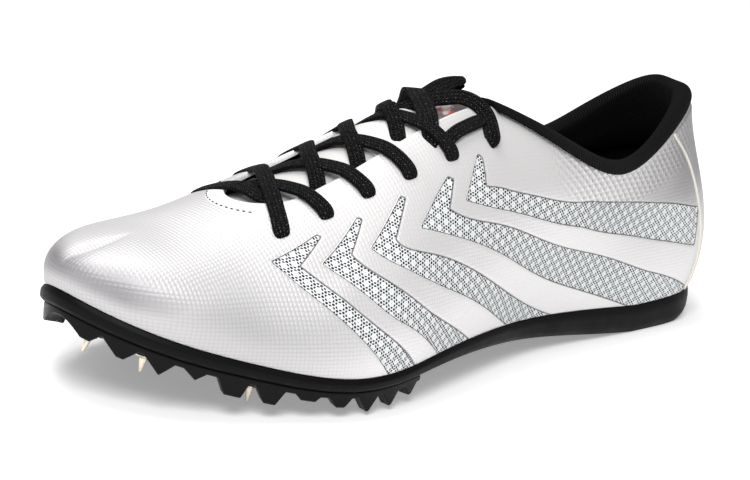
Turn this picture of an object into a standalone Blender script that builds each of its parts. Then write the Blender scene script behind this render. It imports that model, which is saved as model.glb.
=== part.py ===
"""A left track spike shoe at its real size, in metres.

X runs to the toe, Y to the lateral (outer) side and Z up. The origin is at the bottom centre of the shoe,
which stands on the flat of its heel and the tips of its two ball spikes.
"""
import math
from bisect import bisect_right
from functools import lru_cache

import bmesh
import bpy
from mathutils import Vector

# Main sizes
SOLE_LENGTH = 0.280
BALL_WIDTH = 0.092
INSTEP_HEIGHT = 0.090
TOE_RISE = 0.029
BAND_HEIGHT = 0.011
# Walls, layers and the room between pieces
WALL = 0.0018
CLEARANCE = 0.0003
BAND_PROUD = 0.0011
INSOLE_THICKNESS = 0.003
TONGUE_THICKNESS = 0.0022
TONGUE_EDGE = 0.0010
WINDOW_STEP = 0.0005
HEEL_STRIP_STEP = 0.0006
# Collar lining
ROLL_HEIGHT = 0.0032
HEEL_PAD = 0.0050
FRONT_PAD = 0.0026
# Throat, eyelets and laces
THROAT_HALF_WIDTH = 0.0137
THROAT_ROUND = 0.018
EYELET_RADIUS = 0.0019
LACE_WIDTH = 0.0056
LACE_THICKNESS = 0.0012
BAR_SHIFT = 0.0015
# Spike plate and pins
PLATE_THICKNESS = 0.0020
PLATE_INSET = 0.0005
BOSS_HEIGHT = 0.0012
BALL_BOSS_HEIGHT = 0.0005
TOOTH_HEIGHT = 0.0050
TOOTH_DEPTH = 0.0048
SPIKE_LENGTH = 0.006
SPIKE_FLANGE = 0.0027
SPIKE_FLANGE_THICKNESS = 0.0009
SPIKE_SHOULDER = 0.0006
SPIKE_STUD = 0.0014
SPIKE_STUD_LENGTH = 0.0016
SPIKE_TIP = 0.0004
BOSS_RADIUS = 0.0046

LATERAL = 1
MEDIAL = -1
STATIONS = 30
ROWS = 8
SKIRT_ROWS = 3
SMALL_STEP = 1e-3
SLOPE_STEP = 0.02
SHARP_ANGLE = math.radians(40)


def table(columns, *rows):
    """Rows of numbers as one list for each named column."""
    return {name: [row[i] for row in rows] for i, name in enumerate(columns.split())}


# Plan of the sole. Stations are shares of SOLE_LENGTH from the heel, widths are shares of BALL_WIDTH.
OUTLINE = table(
    "station lateral medial",
    (0.000, 0.000, 0.000),
    (0.050, 0.290, -0.262),
    (0.130, 0.323, -0.315),
    (0.250, 0.323, -0.290),
    (0.380, 0.337, -0.235),
    (0.480, 0.398, -0.235),
    (0.580, 0.469, -0.330),
    (0.660, 0.515, -0.440),
    (0.740, 0.497, -0.500),
    (0.830, 0.380, -0.495),
    (0.910, 0.255, -0.425),
    (0.965, 0.100, -0.320),
    (1.000, -0.119, -0.119),
)
# Side of the sole. Its underside is a share of TOE_RISE plus a share of what stands under it at the ball: the
# plate, a boss and an upright spike. Band heights are shares of BAND_HEIGHT.
BALL_STACK = SPIKE_LENGTH + BALL_BOSS_HEIGHT + PLATE_THICKNESS + CLEARANCE
SIDE = table(
    "station toe ball band",
    (0.00, 0.138, 0.00, 0.86),
    (0.05, 0.020, 0.00, 1.00),
    (0.12, -0.020, 0.00, 0.95),
    (0.25, 0.014, 0.25, 0.86),
    (0.38, 0.052, 0.60, 0.66),
    (0.48, 0.046, 0.90, 0.54),
    (0.60, 0.032, 1.00, 0.43),
    (0.72, 0.002, 1.00, 0.40),
    (0.85, 0.290, 0.70, 0.43),
    (0.95, 0.685, 0.30, 0.49),
    (1.00, 1.000, 0.00, 0.54),
)
# The band is proudest between these shares of its height, counted from its top.
BAND_ROUND = (0.30, 0.65)
# Sections of the upper, from the sole's edge (foot) up to its top line. top is a share of SOLE_LENGTH,
# y columns are shares of BALL_WIDTH, z and pull columns are shares of INSTEP_HEIGHT. lean is the angle by
# which the wall leans out at the foot and drop the angle at which it leaves the top line, in degrees.
SECTIONS = table(
    "station top lateral_y medial_y lateral_z medial_z lateral_lean medial_lean"
    " foot_pull lateral_pull medial_pull lateral_drop medial_drop",
    (0.000, 0.028, 0.033, 0.033, 0.899, 0.899, 20, 20, 0.333, 0.222, 0.222, 88, 88),
    (0.050, 0.048, 0.155, -0.130, 0.884, 0.872, 17, 17, 0.311, 0.222, 0.222, 85, 85),
    (0.130, 0.108, 0.238, -0.255, 0.798, 0.738, 14, 16, 0.244, 0.156, 0.156, 80, 80),
    (0.250, 0.233, 0.315, -0.293, 0.694, 0.650, 12, 18, 0.222, 0.133, 0.133, 75, 75),
    (0.380, 0.381, 0.283, -0.261, 0.880, 0.836, 12, 22, 0.311, 0.278, 0.222, 55, 60),
    (0.480, 0.484, 0.087, -0.087, 1.000, 0.973, 12, 22, 0.356, 0.333, 0.244, 25, 45),
    (0.580, 0.580, 0.000, 0.000, 0.923, 0.923, 12, 16, 0.311, 0.333, 0.267, 6, 14),
    (0.660, 0.655, -0.011, -0.011, 0.816, 0.816, 12, 12, 0.267, 0.333, 0.289, 3, 5),
    (0.740, 0.729, -0.033, -0.033, 0.719, 0.719, 12, 10, 0.222, 0.333, 0.322, 0, 0),
    (0.830, 0.806, -0.065, -0.065, 0.634, 0.634, 12, 10, 0.194, 0.303, 0.303, 0, 0),
    (0.910, 0.861, -0.098, -0.098, 0.583, 0.583, 14, 12, 0.206, 0.326, 0.326, 0, 0),
    (0.965, 0.893, -0.103, -0.103, 0.568, 0.568, 14, 14, 0.163, 0.280, 0.280, 0, 0),
    (1.000, 0.908, -0.109, -0.109, 0.562, 0.562, 14, 14, 0.160, 0.253, 0.253, 0, 0),
)
# Stations as shares of SOLE_LENGTH: where the two sides start to meet in a ridge, where sections start to
# follow its slope, the front of the lining, and the two ends of the throat.
RIDGE_STATION = 0.58
SLOPE_FROM = 0.49
LINING_FRONT = 0.437
THROAT_REAR = 0.420
THROAT_FRONT = 0.780
# How much a section leaves its top line square to the outline, against straight to its own foot.
OUTWARD_SHARE = 0.25
# Bottom and top of the throat's cut, as shares of INSTEP_HEIGHT.
THROAT_CUT = (0.45, 1.25)
# Ways across the throat from the ridge, as shares of the section: the throat's edge, the ends of the laces,
# and where the lower legs of the first and of the later crossings start.
THROAT_EDGE = 0.16
LACE_REACH = 0.285
FIRST_LEG = 0.030
LATER_LEG = 0.09
# Tongue. along is a share of SOLE_LENGTH, top and drop are shares of INSTEP_HEIGHT, widths of BALL_WIDTH.
TONGUE = table(
    "along top lateral_width medial_width lateral_drop medial_drop",
    (0.415, 0.950, 0.050, 0.045, 0.012, 0.012),
    (0.425, 0.964, 0.090, 0.078, 0.030, 0.030),
    (0.445, 0.976, 0.118, 0.098, 0.043, 0.042),
    (0.470, 0.975, 0.160, 0.140, 0.070, 0.085),
    (0.500, 0.956, 0.180, 0.142, 0.075, 0.110),
    (0.540, 0.928, 0.190, 0.146, 0.078, 0.110),
    (0.580, 0.886, 0.195, 0.160, 0.078, 0.105),
    (0.620, 0.830, 0.195, 0.165, 0.075, 0.085),
    (0.660, 0.775, 0.195, 0.175, 0.070, 0.075),
    (0.700, 0.719, 0.185, 0.205, 0.062, 0.062),
    (0.740, 0.670, 0.160, 0.210, 0.052, 0.054),
    (0.768, 0.639, 0.140, 0.190, 0.044, 0.046),
)
# Mesh windows. Each row joins a point of the window's front edge to one of its rear edge: the station as a
# share of SOLE_LENGTH and the height as a share of the way up the section. The last row is under the foot.
WINDOWS = (
    ((0.741, 0.665, 0.737, 0.652), (0.803, 0.600, 0.774, 0.556), (0.787, 0.500, 0.757, 0.470),
     (0.765, 0.390, 0.729, 0.343), (0.741, 0.280, 0.697, 0.220), (0.712, 0.150, 0.662, 0.105),
     (0.680, 0.000, 0.633, 0.000), (0.672, -0.040, 0.625, -0.040)),
    ((0.688, 0.665, 0.684, 0.650), (0.748, 0.544, 0.713, 0.545), (0.730, 0.463, 0.701, 0.475),
     (0.706, 0.360, 0.668, 0.360), (0.679, 0.258, 0.633, 0.250), (0.643, 0.165, 0.588, 0.140),
     (0.584, 0.000, 0.515, 0.000), (0.570, -0.040, 0.500, -0.040)),
    ((0.628, 0.652, 0.623, 0.636), (0.688, 0.537, 0.655, 0.525), (0.672, 0.470, 0.640, 0.465),
     (0.636, 0.369, 0.590, 0.375), (0.590, 0.269, 0.530, 0.270), (0.516, 0.144, 0.452, 0.150),
     (0.426, 0.000, 0.330, 0.000), (0.402, -0.040, 0.305, -0.040)),
    ((0.555, 0.632, 0.548, 0.616), (0.617, 0.513, 0.567, 0.519), (0.570, 0.425, 0.528, 0.452),
     (0.500, 0.335, 0.470, 0.415), (0.422, 0.256, 0.392, 0.372), (0.320, 0.190, 0.290, 0.335),
     (0.230, 0.070, 0.165, 0.210), (0.186, 0.000, 0.090, 0.060), (0.170, -0.040, 0.060, -0.040)),
    ((0.498, 0.705, 0.493, 0.690), (0.538, 0.530, 0.500, 0.570), (0.500, 0.490, 0.475, 0.580),
     (0.426, 0.493, 0.424, 0.610), (0.350, 0.535, 0.350, 0.700), (0.277, 0.530, 0.275, 0.735),
     (0.190, 0.440, 0.190, 0.645), (0.115, 0.320, 0.115, 0.510), (0.069, 0.250, 0.069, 0.428)),
)
# Pairs of eyelets from the front: station, and height as a share of the way up a section.
EYELETS = table(
    "station height",
    (0.776, 0.718),
    (0.719, 0.728),
    (0.662, 0.728),
    (0.604, 0.704),
    (0.538, 0.704),
    (0.468, 0.790),
)
# Teeth of the plate: station share of SOLE_LENGTH, height share of TOOTH_HEIGHT, base and flat tip as
# shares of TOOTH_HEIGHT.
TEETH = table(
    "station height base flat",
    (0.632, 0.70, 1.30, 0.15),
    (0.668, 0.95, 1.50, 0.05),
    (0.704, 1.00, 1.60, 0.10),
    (0.742, 0.60, 1.60, 0.60),
    (0.781, 0.35, 1.60, 0.90),
    (0.822, 1.00, 1.80, 0.70),
    (0.862, 1.00, 1.90, 1.00),
    (0.902, 0.55, 1.30, 0.05),
    (0.935, 0.95, 1.50, 0.05),
    (0.966, 0.85, 1.50, 0.30),
    (0.990, 0.70, 1.10, 0.30),
)
PLATE_REAR = 0.615
# Spikes: station share of SOLE_LENGTH, sideways place as a share of BALL_WIDTH, forward lean in degrees.
SPIKES = table(
    "station sideways lean",
    (0.672, 0.400, 0),
    (0.690, -0.330, 0),
    (0.820, 0.280, 6),
    (0.800, -0.400, 6),
    (0.918, 0.060, 12),
    (0.895, -0.335, 12),
    (0.958, -0.090, 22),
)
# The ring of the lining: distance in from the outer skin and height over the collar edge, as shares of the
# pad and the roll's height. The skirt's two rows follow the wall down.
ROLL = table(
    "inward rise",
    (0.00, 0.30),
    (0.10, 0.80),
    (0.45, 1.05),
    (0.85, 0.75),
    (1.00, 0.10),
)
# Raised strip up the back of the heel: height up the section and half width as a share of BALL_WIDTH.
HEEL_STRIP = table(
    "height half_width",
    (0.02, 0.150),
    (0.20, 0.110),
    (0.45, 0.085),
    (0.70, 0.120),
    (0.96, 0.190),
)


def place_of(station):
    """Place along the outline, 0 at the heel and 1 at the toe, which turns evenly round both ends."""
    return math.acos(1 - 2 * min(max(station, 0), 1)) / math.pi


def station_of(place):
    return (1 - math.cos(math.pi * place)) / 2


def natural(knots, values):
    """A natural cubic spline through the values, as a function of one number."""
    count = len(knots)
    bends = [0.0] * count
    upper = [0.0] * count
    for i in range(1, count - 1):
        before = knots[i] - knots[i - 1]
        after = knots[i + 1] - knots[i]
        change = 6 * ((values[i + 1] - values[i]) / after - (values[i] - values[i - 1]) / before)
        pivot = 2 * (before + after) - before * upper[i - 1]
        upper[i] = after / pivot
        bends[i] = (change - before * bends[i - 1]) / pivot
    for i in range(count - 2, 0, -1):
        bends[i] -= upper[i] * bends[i + 1]

    def value(at):
        i = min(max(bisect_right(knots, at) - 1, 0), count - 2)
        span = knots[i + 1] - knots[i]
        right = (at - knots[i]) / span
        left = 1 - right
        curve = (left ** 3 - left) * bends[i] + (right ** 3 - right) * bends[i + 1]
        return left * values[i] + right * values[i + 1] + curve * span * span / 6

    return value


def even(knots, values):
    """A spline that runs level over both ends, as if mirrored there, so that heel and toe come out round."""
    before = [-knot for knot in knots[2:0:-1]]
    after = [2 - knot for knot in knots[-2:-4:-1]]
    return natural(before + knots + after, values[2:0:-1] + values + values[-2:-4:-1])


def place_splines(rows):
    """One spline for each column of a table of stations; a column of sideways places may cross the ends."""
    knots = [place_of(share) for share in rows["station"]]
    crossing = ("lateral", "medial", "lateral_y", "medial_y")
    return {name: (natural if name in crossing else even)(knots, values)
            for name, values in rows.items() if name != "station"}


def splines(rows, key):
    """One spline for each column of a table, over the key column."""
    return {name: natural(rows[key], values) for name, values in rows.items() if name != key}


outline_at = place_splines(OUTLINE)
side_at = place_splines(SIDE)
section_at = place_splines(SECTIONS)
tongue_at = splines(TONGUE, "along")
RIDGE_PLACE = place_of(RIDGE_STATION)


def name_of(side):
    return "lateral" if side == LATERAL else "medial"


def underside(place):
    """Height of the sole's underside, flat where it meets the ground."""
    return max(side_at["toe"](place) * TOE_RISE + side_at["ball"](place) * BALL_STACK, 0.0)


def bed(place):
    """Height of the sole's top, on which the upper stands."""
    return underside(place) + side_at["band"](place) * BAND_HEIGHT


def foot(side, place):
    """Point where the upper meets the sole's edge."""
    sideways = outline_at[name_of(side)](place) * BALL_WIDTH
    return Vector((station_of(place) * SOLE_LENGTH, sideways, bed(place)))


@lru_cache(maxsize=None)
def outward(side, place):
    """Level direction straight out of the outline."""
    if place in (0, 1):
        return Vector((2 * place - 1, 0, 0))
    run = foot(side, place + SMALL_STEP) - foot(side, place - SMALL_STEP)
    return Vector((-run.y * side, run.x * side, 0)).normalized()


@lru_cache(maxsize=None)
def top_line(side, place):
    """Point of the collar line, or of the ridge where both sides meet."""
    ridge = place >= RIDGE_PLACE
    names = ("lateral", "medial") if ridge else (name_of(side),)
    sideways = sum(section_at[name + "_y"](place) for name in names) / len(names)
    height = sum(section_at[name + "_z"](place) for name in names) / len(names)
    return Vector((section_at["top"](place) * SOLE_LENGTH, sideways * BALL_WIDTH, height * INSTEP_HEIGHT))


@lru_cache(maxsize=None)
def section(side, place):
    """The four points that steer one section of the upper, from its foot to its top line."""
    name = name_of(side)
    low = foot(side, place)
    high = top_line(side, place)
    lean = math.radians(section_at[name + "_lean"](place))
    rise = outward(side, place) * math.sin(lean) + Vector((0, 0, math.cos(lean)))
    drop = math.radians(section_at[name + "_drop"](place))
    behind = top_line(side, max(place - SLOPE_STEP, 0))
    ahead = top_line(side, min(place + SLOPE_STEP, 1))
    run = ahead.x - behind.x
    slope = (ahead.z - behind.z) / run if abs(run) > 1e-9 else 0.0
    slope *= min(max((station_of(place) - SLOPE_FROM) / (RIDGE_STATION - SLOPE_FROM), 0), 1)
    level = Vector((low.x - high.x, low.y - high.y, 0)) + outward(side, place) * BALL_WIDTH * OUTWARD_SHARE
    level.normalize()
    fall = level * math.cos(drop) + Vector((0, 0, level.x * slope * math.cos(drop) - math.sin(drop)))
    foot_handle = low + rise * section_at["foot_pull"](place) * INSTEP_HEIGHT
    top_handle = high + fall * section_at[name + "_pull"](place) * INSTEP_HEIGHT
    return low, foot_handle, top_handle, high


def wrap(side, place):
    """A place past the toe or the heel is on the other side."""
    if place > 1:
        return -side, 2 - place
    if place < 0:
        return -side, -place
    return side, place


def on_section(side, place, height):
    a, b, c, d = section(*wrap(side, place))
    rest = 1 - height
    return a * rest ** 3 + b * (3 * rest * rest * height) + c * (3 * rest * height * height) + d * height ** 3


@lru_cache(maxsize=None)
def normal(side, place, height):
    """Direction straight out of the upper's skin."""
    if height > 1 - SMALL_STEP and place >= RIDGE_PLACE:
        both = [steep_normal(s, place, 1 - SLOPE_STEP) for s in (LATERAL, MEDIAL)]
        return (both[0] + both[1]).normalized()
    return steep_normal(side, place, min(height, 1 - 5 * SMALL_STEP))


def steep_normal(side, place, height):
    along = on_section(side, place + SMALL_STEP, height) - on_section(side, place - SMALL_STEP, height)
    up = on_section(side, place, height + SMALL_STEP) - on_section(side, place, height - SMALL_STEP)
    return (up.cross(along) * side).normalized()


def skin(side, place, height, depth=0.0):
    """A point of the upper's skin, or of the form inside it by a depth (outside it by a negative one)."""
    return on_section(side, place, height) - normal(side, place, height) * depth


def edge(side, place, depth):
    """The foot of the form inside the skin: level with the foot, so that the wall stands on the sole."""
    return foot(side, place) - outward(side, place) * depth


def plan_centre():
    """Middle of the shoe's plan, halfway between its farthest points."""
    xs = []
    ys = []
    for i in range(STATIONS + 1):
        place = i / STATIONS
        for side in (LATERAL, MEDIAL):
            points = [skin(side, place, k / ROWS, 0 if i else -HEEL_STRIP_STEP) for k in range(ROWS)]
            points.append(foot(side, place) + outward(side, place) * BAND_PROUD)
            xs += [point.x for point in points]
            ys += [point.y for point in points]
    return Vector(((min(xs) + max(xs)) / 2, (min(ys) + max(ys)) / 2, 0))


CENTRE = plan_centre()


def material(name, colour, roughness, metallic=0.0):
    made = bpy.data.materials.new(name)
    made.use_nodes = True
    shader = made.node_tree.nodes["Principled BSDF"]
    shader.inputs["Base Color"].default_value = (*colour, 1)
    shader.inputs["Roughness"].default_value = roughness
    shader.inputs["Metallic"].default_value = metallic
    return made


def solid(name, points, faces, made=None):
    """A closed body from points in the shoe's own frame; faces may list the same point twice at a tip."""
    mesh = bpy.data.meshes.new(name)
    mesh.from_pydata([tuple(point - CENTRE) for point in points], [], faces)
    work = bmesh.new()
    work.from_mesh(mesh)
    bmesh.ops.remove_doubles(work, verts=work.verts[:], dist=1e-6)
    bmesh.ops.dissolve_degenerate(work, edges=work.edges[:], dist=1e-7)
    bmesh.ops.triangulate(work, faces=[face for face in work.faces if len(face.verts) > 3])
    bmesh.ops.recalc_face_normals(work, faces=work.faces[:])
    work.to_mesh(mesh)
    work.free()
    body = bpy.data.objects.new(name, mesh)
    bpy.context.scene.collection.objects.link(body)
    mesh.shade_smooth()
    mesh.set_sharp_from_angle(angle=SHARP_ANGLE)
    if made:
        mesh.materials.append(made)
    return body


def cut(body, other, kind="DIFFERENCE"):
    """Cut a helper out of a body, or join it to the body, and keep the helper out of sight."""
    other.hide_render = True
    other.display_type = "WIRE"
    step = body.modifiers.new(other.name, "BOOLEAN")
    step.operation = kind
    step.object = other
    step.solver = "EXACT"


def settle(body):
    """Make a body's cuts real and mark its sharp edges again."""
    view = bpy.context.evaluated_depsgraph_get()
    mesh = bpy.data.meshes.new_from_object(body.evaluated_get(view))
    body.modifiers.clear()
    body.data = mesh
    mesh.set_sharp_from_angle(angle=SHARP_ANGLE)


class Shape:
    """Points and faces of one or more closed lofts."""

    def __init__(self):
        self.points = []
        self.faces = []

    def loft(self, rings, closed=False):
        """Join rings of equal length; an open loft gets a cap at each end."""
        start = len(self.points)
        size = len(rings[0])
        for ring in rings:
            self.points += ring
        count = len(rings)
        for i in range(count if closed else count - 1):
            for k in range(size):
                ahead = (i + 1) % count
                beside = (k + 1) % size
                here = start + i * size
                there = start + ahead * size
                self.faces.append([here + k, here + beside, there + beside])
                self.faces.append([here + k, there + beside, there + k])
        if not closed:
            self.faces.append([start + k for k in range(size)])
            self.faces.append([start + (count - 1) * size + k for k in range(size)])

    def solid(self, name, made=None):
        return solid(name, self.points, self.faces, made)


def round_the_foot(first=0, last=STATIONS):
    """Sides and places all the way round: heel to toe on the lateral side and back on the medial side."""
    out = [(LATERAL, i / STATIONS) for i in range(first, last + 1)]
    back = [(MEDIAL, i / STATIONS) for i in range(last - 1, first, -1)]
    return out + back


def wall_column(side, place, depth, drop):
    """Points up one section of the form at a depth inside the skin, from its foot let down by a drop."""
    low = edge(side, place, depth) + Vector((0, 0, CLEARANCE))
    start = [low - Vector((0, 0, drop))] if drop else []
    return start + [low] + [skin(side, place, k / ROWS, depth) for k in range(1, ROWS + 1)]


def wall_between(name, outer, inner, drop=0.0, made=None):
    """A wall between two forms of the upper, joined at the foot, round the collar and along the ridge."""
    columns = round_the_foot()
    points = []
    for side, place in columns:
        points += wall_column(side, place, outer, drop) + wall_column(side, place, inner, drop)
    size = len(points) // len(columns)
    rows = size // 2
    faces = []
    for i, (_, place) in enumerate(columns):
        here = i * size
        ahead = (i + 1) % len(columns)
        there = ahead * size
        for k in range(rows - 1):
            faces.append([here + k, there + k, there + k + 1])
            faces.append([here + k, there + k + 1, here + k + 1])
            faces.append([here + rows + k, there + rows + k + 1, there + rows + k])
            faces.append([here + rows + k, here + rows + k + 1, there + rows + k + 1])
        faces.append([here, here + rows, there + rows, there])
        if min(place, columns[ahead][1]) < RIDGE_PLACE:
            top = rows - 1
            faces.append([here + top, there + top, there + rows + top, here + rows + top])
    return solid(name, points, faces, made)


def window_cutter():
    """The mesh windows: blocks through the wall, kept only to a step under the skin."""
    shape = Shape()
    for side in (LATERAL, MEDIAL):
        for rows in WINDOWS:
            rings = []
            for front, front_height, rear, rear_height in rows:
                ends = ((place_of(front), front_height), (place_of(rear), rear_height))
                inner = [skin(side, place, height, WALL - CLEARANCE) for place, height in ends]
                outer = [skin(side, place, height, -WALL) for place, height in reversed(ends)]
                rings.append(inner + outer)
            shape.loft(rings)
    blocks = shape.solid("window_blocks")
    cut(blocks, wall_between("window_layer", -WALL / 2, WINDOW_STEP, WALL), "INTERSECT")
    return blocks


def heel_strip_form():
    """The strip up the back of the heel: a block through the skin, kept only to a step out of it."""
    rings = []
    for height, half_width in zip(*HEEL_STRIP.values()):
        ends = [(side, place_at_reach(side, height, half_width * BALL_WIDTH)) for side in (MEDIAL, LATERAL)]
        inner = [skin(side, place, height, 4 * WALL) for side, place in ends]
        outer = [skin(side, place, height, -4 * WALL) for side, place in reversed(ends)]
        rings.append(inner + outer)
    shape = Shape()
    shape.loft(rings)
    block = shape.solid("heel_block")
    cut(block, wall_between("heel_layer", -HEEL_STRIP_STEP, WALL / 3), "INTERSECT")
    return block


def place_at_reach(side, height, reach):
    """Place near the heel at which the skin lies a given way along from the heel's middle."""
    middle = on_section(side, 0, height)
    near = 0.0
    far = 0.3
    for _ in range(30):
        half = (near + far) / 2
        if (on_section(side, half, height) - middle).length < reach:
            near = half
        else:
            far = half
    return near


def ridge_sideways(x):
    """Sideways place of the ridge at a distance from the heel."""
    low = RIDGE_PLACE
    high = 1.0
    for _ in range(30):
        half = (low + high) / 2
        if top_line(LATERAL, half).x < x:
            low = half
        else:
            high = half
    return top_line(LATERAL, low).y


def throat_half_width(x):
    """Half width of the throat: straight, with a round end at the vamp."""
    to_end = THROAT_FRONT * SOLE_LENGTH - x
    if to_end > THROAT_ROUND:
        return THROAT_HALF_WIDTH
    return THROAT_HALF_WIDTH * math.sqrt(max(1 - (1 - to_end / THROAT_ROUND) ** 2, 0))


def throat_cutter():
    """An upright form of the throat's plan."""
    rear = THROAT_REAR * SOLE_LENGTH
    front = THROAT_FRONT * SOLE_LENGTH
    straight = front - THROAT_ROUND
    runs = [rear + (straight - rear) * i / 6 for i in range(7)]
    runs += [front - THROAT_ROUND * (1 - math.sin(math.radians(turn))) for turn in (20, 40, 58, 72, 82)]
    lateral = [(x, ridge_sideways(x) + throat_half_width(x)) for x in runs]
    medial = [(x, ridge_sideways(x) - throat_half_width(x)) for x in runs]
    plan = lateral + [(front, ridge_sideways(front))] + medial[::-1]
    shape = Shape()
    shape.loft([[Vector((x, y, z * INSTEP_HEIGHT)) for x, y in plan] for z in THROAT_CUT])
    return shape.solid("throat_cutter")


def turned(profile, place, axis, sides):
    """Rings of a turned form: radii and distances along an axis from a place."""
    turn = axis.to_track_quat("Z", "Y").to_matrix()
    rings = []
    for radius, along in profile:
        ring = []
        for k in range(sides):
            angle = 2 * math.pi * k / sides
            ring.append(place + turn @ Vector((radius * math.cos(angle), radius * math.sin(angle), along)))
        rings.append(ring)
    return rings


def eyelet_cutter():
    shape = Shape()
    for station, height in zip(*EYELETS.values()):
        place = place_of(station)
        for side in (LATERAL, MEDIAL):
            centre = skin(side, place, height)
            axis = normal(side, place, height)
            shape.loft(turned([(EYELET_RADIUS, -2 * WALL), (EYELET_RADIUS, 2 * WALL)], centre, axis, 8))
    return shape.solid("eyelet_cutter")


def upper():
    """The hollow upper: an outer and an inner skin, joined at the foot and round the collar."""
    silver = material("silver_film", (0.78, 0.77, 0.77), 0.38, 0.25)
    body = wall_between("upper", 0.0, WALL, made=silver)
    cut(body, throat_cutter())
    cut(body, heel_strip_form(), "UNION")
    cut(body, window_cutter())
    cut(body, eyelet_cutter())
    settle(body)


def sole():
    """The sole band under the whole foot, with its proud rounded side and flat heel."""
    rings = []
    for i in range(STATIONS + 1):
        place = i / STATIONS
        low = underside(place)
        high = bed(place)
        band = high - low
        ring = []
        for side in (LATERAL, MEDIAL):
            base = foot(side, place)
            out = outward(side, place)
            rows = [(0.0, high), (BAND_PROUD, high - BAND_ROUND[0] * band),
                    (BAND_PROUD, high - BAND_ROUND[1] * band), (-PLATE_INSET, low)]
            half = [base + out * reach + Vector((0, 0, z - base.z)) for reach, z in rows]
            ring += half if side == LATERAL else half[::-1]
        rings.append(ring)
    shape = Shape()
    shape.loft(rings)
    return shape.solid("sole", material("black_rubber", (0.018, 0.018, 0.019), 0.62))


def insole():
    """The footbed inside the upper."""
    rings = []
    for i in range(STATIONS + 1):
        ring = []
        for side in (LATERAL, MEDIAL):
            low = edge(side, i / STATIONS, WALL + 2 * CLEARANCE)
            low.z = bed(place_of(low.x / SOLE_LENGTH)) + 2 * CLEARANCE
            high = low + Vector((0, 0, INSOLE_THICKNESS))
            ring += [low, high] if side == LATERAL else [high, low]
        rings.append(ring)
    shape = Shape()
    shape.loft(rings)
    return shape.solid("insole", material("black_cloth", (0.02, 0.02, 0.022), 0.9))


def pad(place):
    """Thickness of the lining, thick at the heel and thin at the front."""
    share = min(station_of(place) / LINING_FRONT, 1)
    return HEEL_PAD + (FRONT_PAD - HEEL_PAD) * share


def lining():
    """The black padded lining: a roll on the collar edge and a skirt down the inside of the wall."""
    front = place_of(LINING_FRONT) * STATIONS
    last = int(front)
    halves = {}
    for side in (LATERAL, MEDIAL):
        rings = [lining_ring(side, i / STATIONS, CLEARANCE) for i in range(last + 1)]
        ahead = lining_ring(side, (last + 1) / STATIONS, 4 * CLEARANCE)
        halves[side] = rings + [[a.lerp(b, front - last) for a, b in zip(rings[-1], ahead)]]
    shape = Shape()
    shape.loft(halves[MEDIAL][:0:-1] + halves[LATERAL])
    return shape.solid("collar_lining", material("black_knit", (0.016, 0.016, 0.017), 0.85))


def lining_ring(side, place, gap):
    """One section of the lining, a gap away from the wall."""
    top = top_line(side, place)
    out = normal(side, place, 1.0)
    up = (on_section(side, place, 1.0) - on_section(side, place, 0.98)).normalized()
    thick = pad(place)
    face = WALL + gap
    heights = [1 - k / ROWS for k in range(SKIRT_ROWS, 0, -1)]
    ring = [skin(side, place, height, face) for height in heights]
    ring += [top - out * face + up * CLEARANCE, top + up * CLEARANCE]
    for inward, rise in zip(ROLL["inward"], ROLL["rise"]):
        ring.append(top - out * (inward * (face + thick)) + up * (CLEARANCE + rise * ROLL_HEIGHT))
    for height in reversed(heights[1:]):
        ring.append(skin(side, place, height, face + thick))
    ring.append(skin(side, place, heights[0], face + 0.5 * thick))
    return ring


def tongue():
    """The tongue: an arched pad from under the vamp to behind the top lace."""
    rings = []
    steps = 16
    first = TONGUE["along"][0]
    last = TONGUE["along"][-1]
    across = (-1, -0.72, -0.4, 0, 0.4, 0.72, 1)
    for i in range(steps + 1):
        along = first + (last - first) * i / steps
        x = along * SOLE_LENGTH
        middle = ridge_sideways(max(x, top_line(LATERAL, RIDGE_PLACE).x))
        top = []
        under = []
        for share in across:
            name = "lateral" if share >= 0 else "medial"
            width = tongue_at[name + "_width"](along) * BALL_WIDTH
            fall = tongue_at[name + "_drop"](along) * INSTEP_HEIGHT * share * share
            height = tongue_at["top"](along) * INSTEP_HEIGHT - fall
            thick = TONGUE_EDGE if abs(share) == 1 else TONGUE_THICKNESS
            top.append(Vector((x, middle + share * width, height)))
            under.append(Vector((x, middle + share * width, height - thick)))
        rings.append(top + under[::-1])
    shape = Shape()
    shape.loft(rings)
    return shape.solid("tongue", material("white_leather", (0.82, 0.82, 0.80), 0.5))


def ribbon(low, high, steps):
    """Rings of a flat lace over the throat, between two stops: a station share and a way across it."""
    centres = []
    outs = []
    for i in range(steps + 1):
        station, across = [a + (b - a) * i / steps for a, b in zip(low, high)]
        side = LATERAL if across >= 0 else MEDIAL
        place = place_of(station)
        lift = 2 * CLEARANCE + LACE_THICKNESS / 2
        centres.append(skin(side, place, 1 - abs(across), -lift))
        outs.append(normal(side, place, 1 - abs(across)))
    rings = []
    for i, (centre, out) in enumerate(zip(centres, outs)):
        run = centres[min(i + 1, steps)] - centres[max(i - 1, 0)]
        wide = out.cross(run).normalized() * LACE_WIDTH / 2
        thick = out * LACE_THICKNESS / 2
        rings.append([centre + wide + thick, centre - wide + thick, centre - wide - thick, centre + wide - thick])
    return rings


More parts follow.
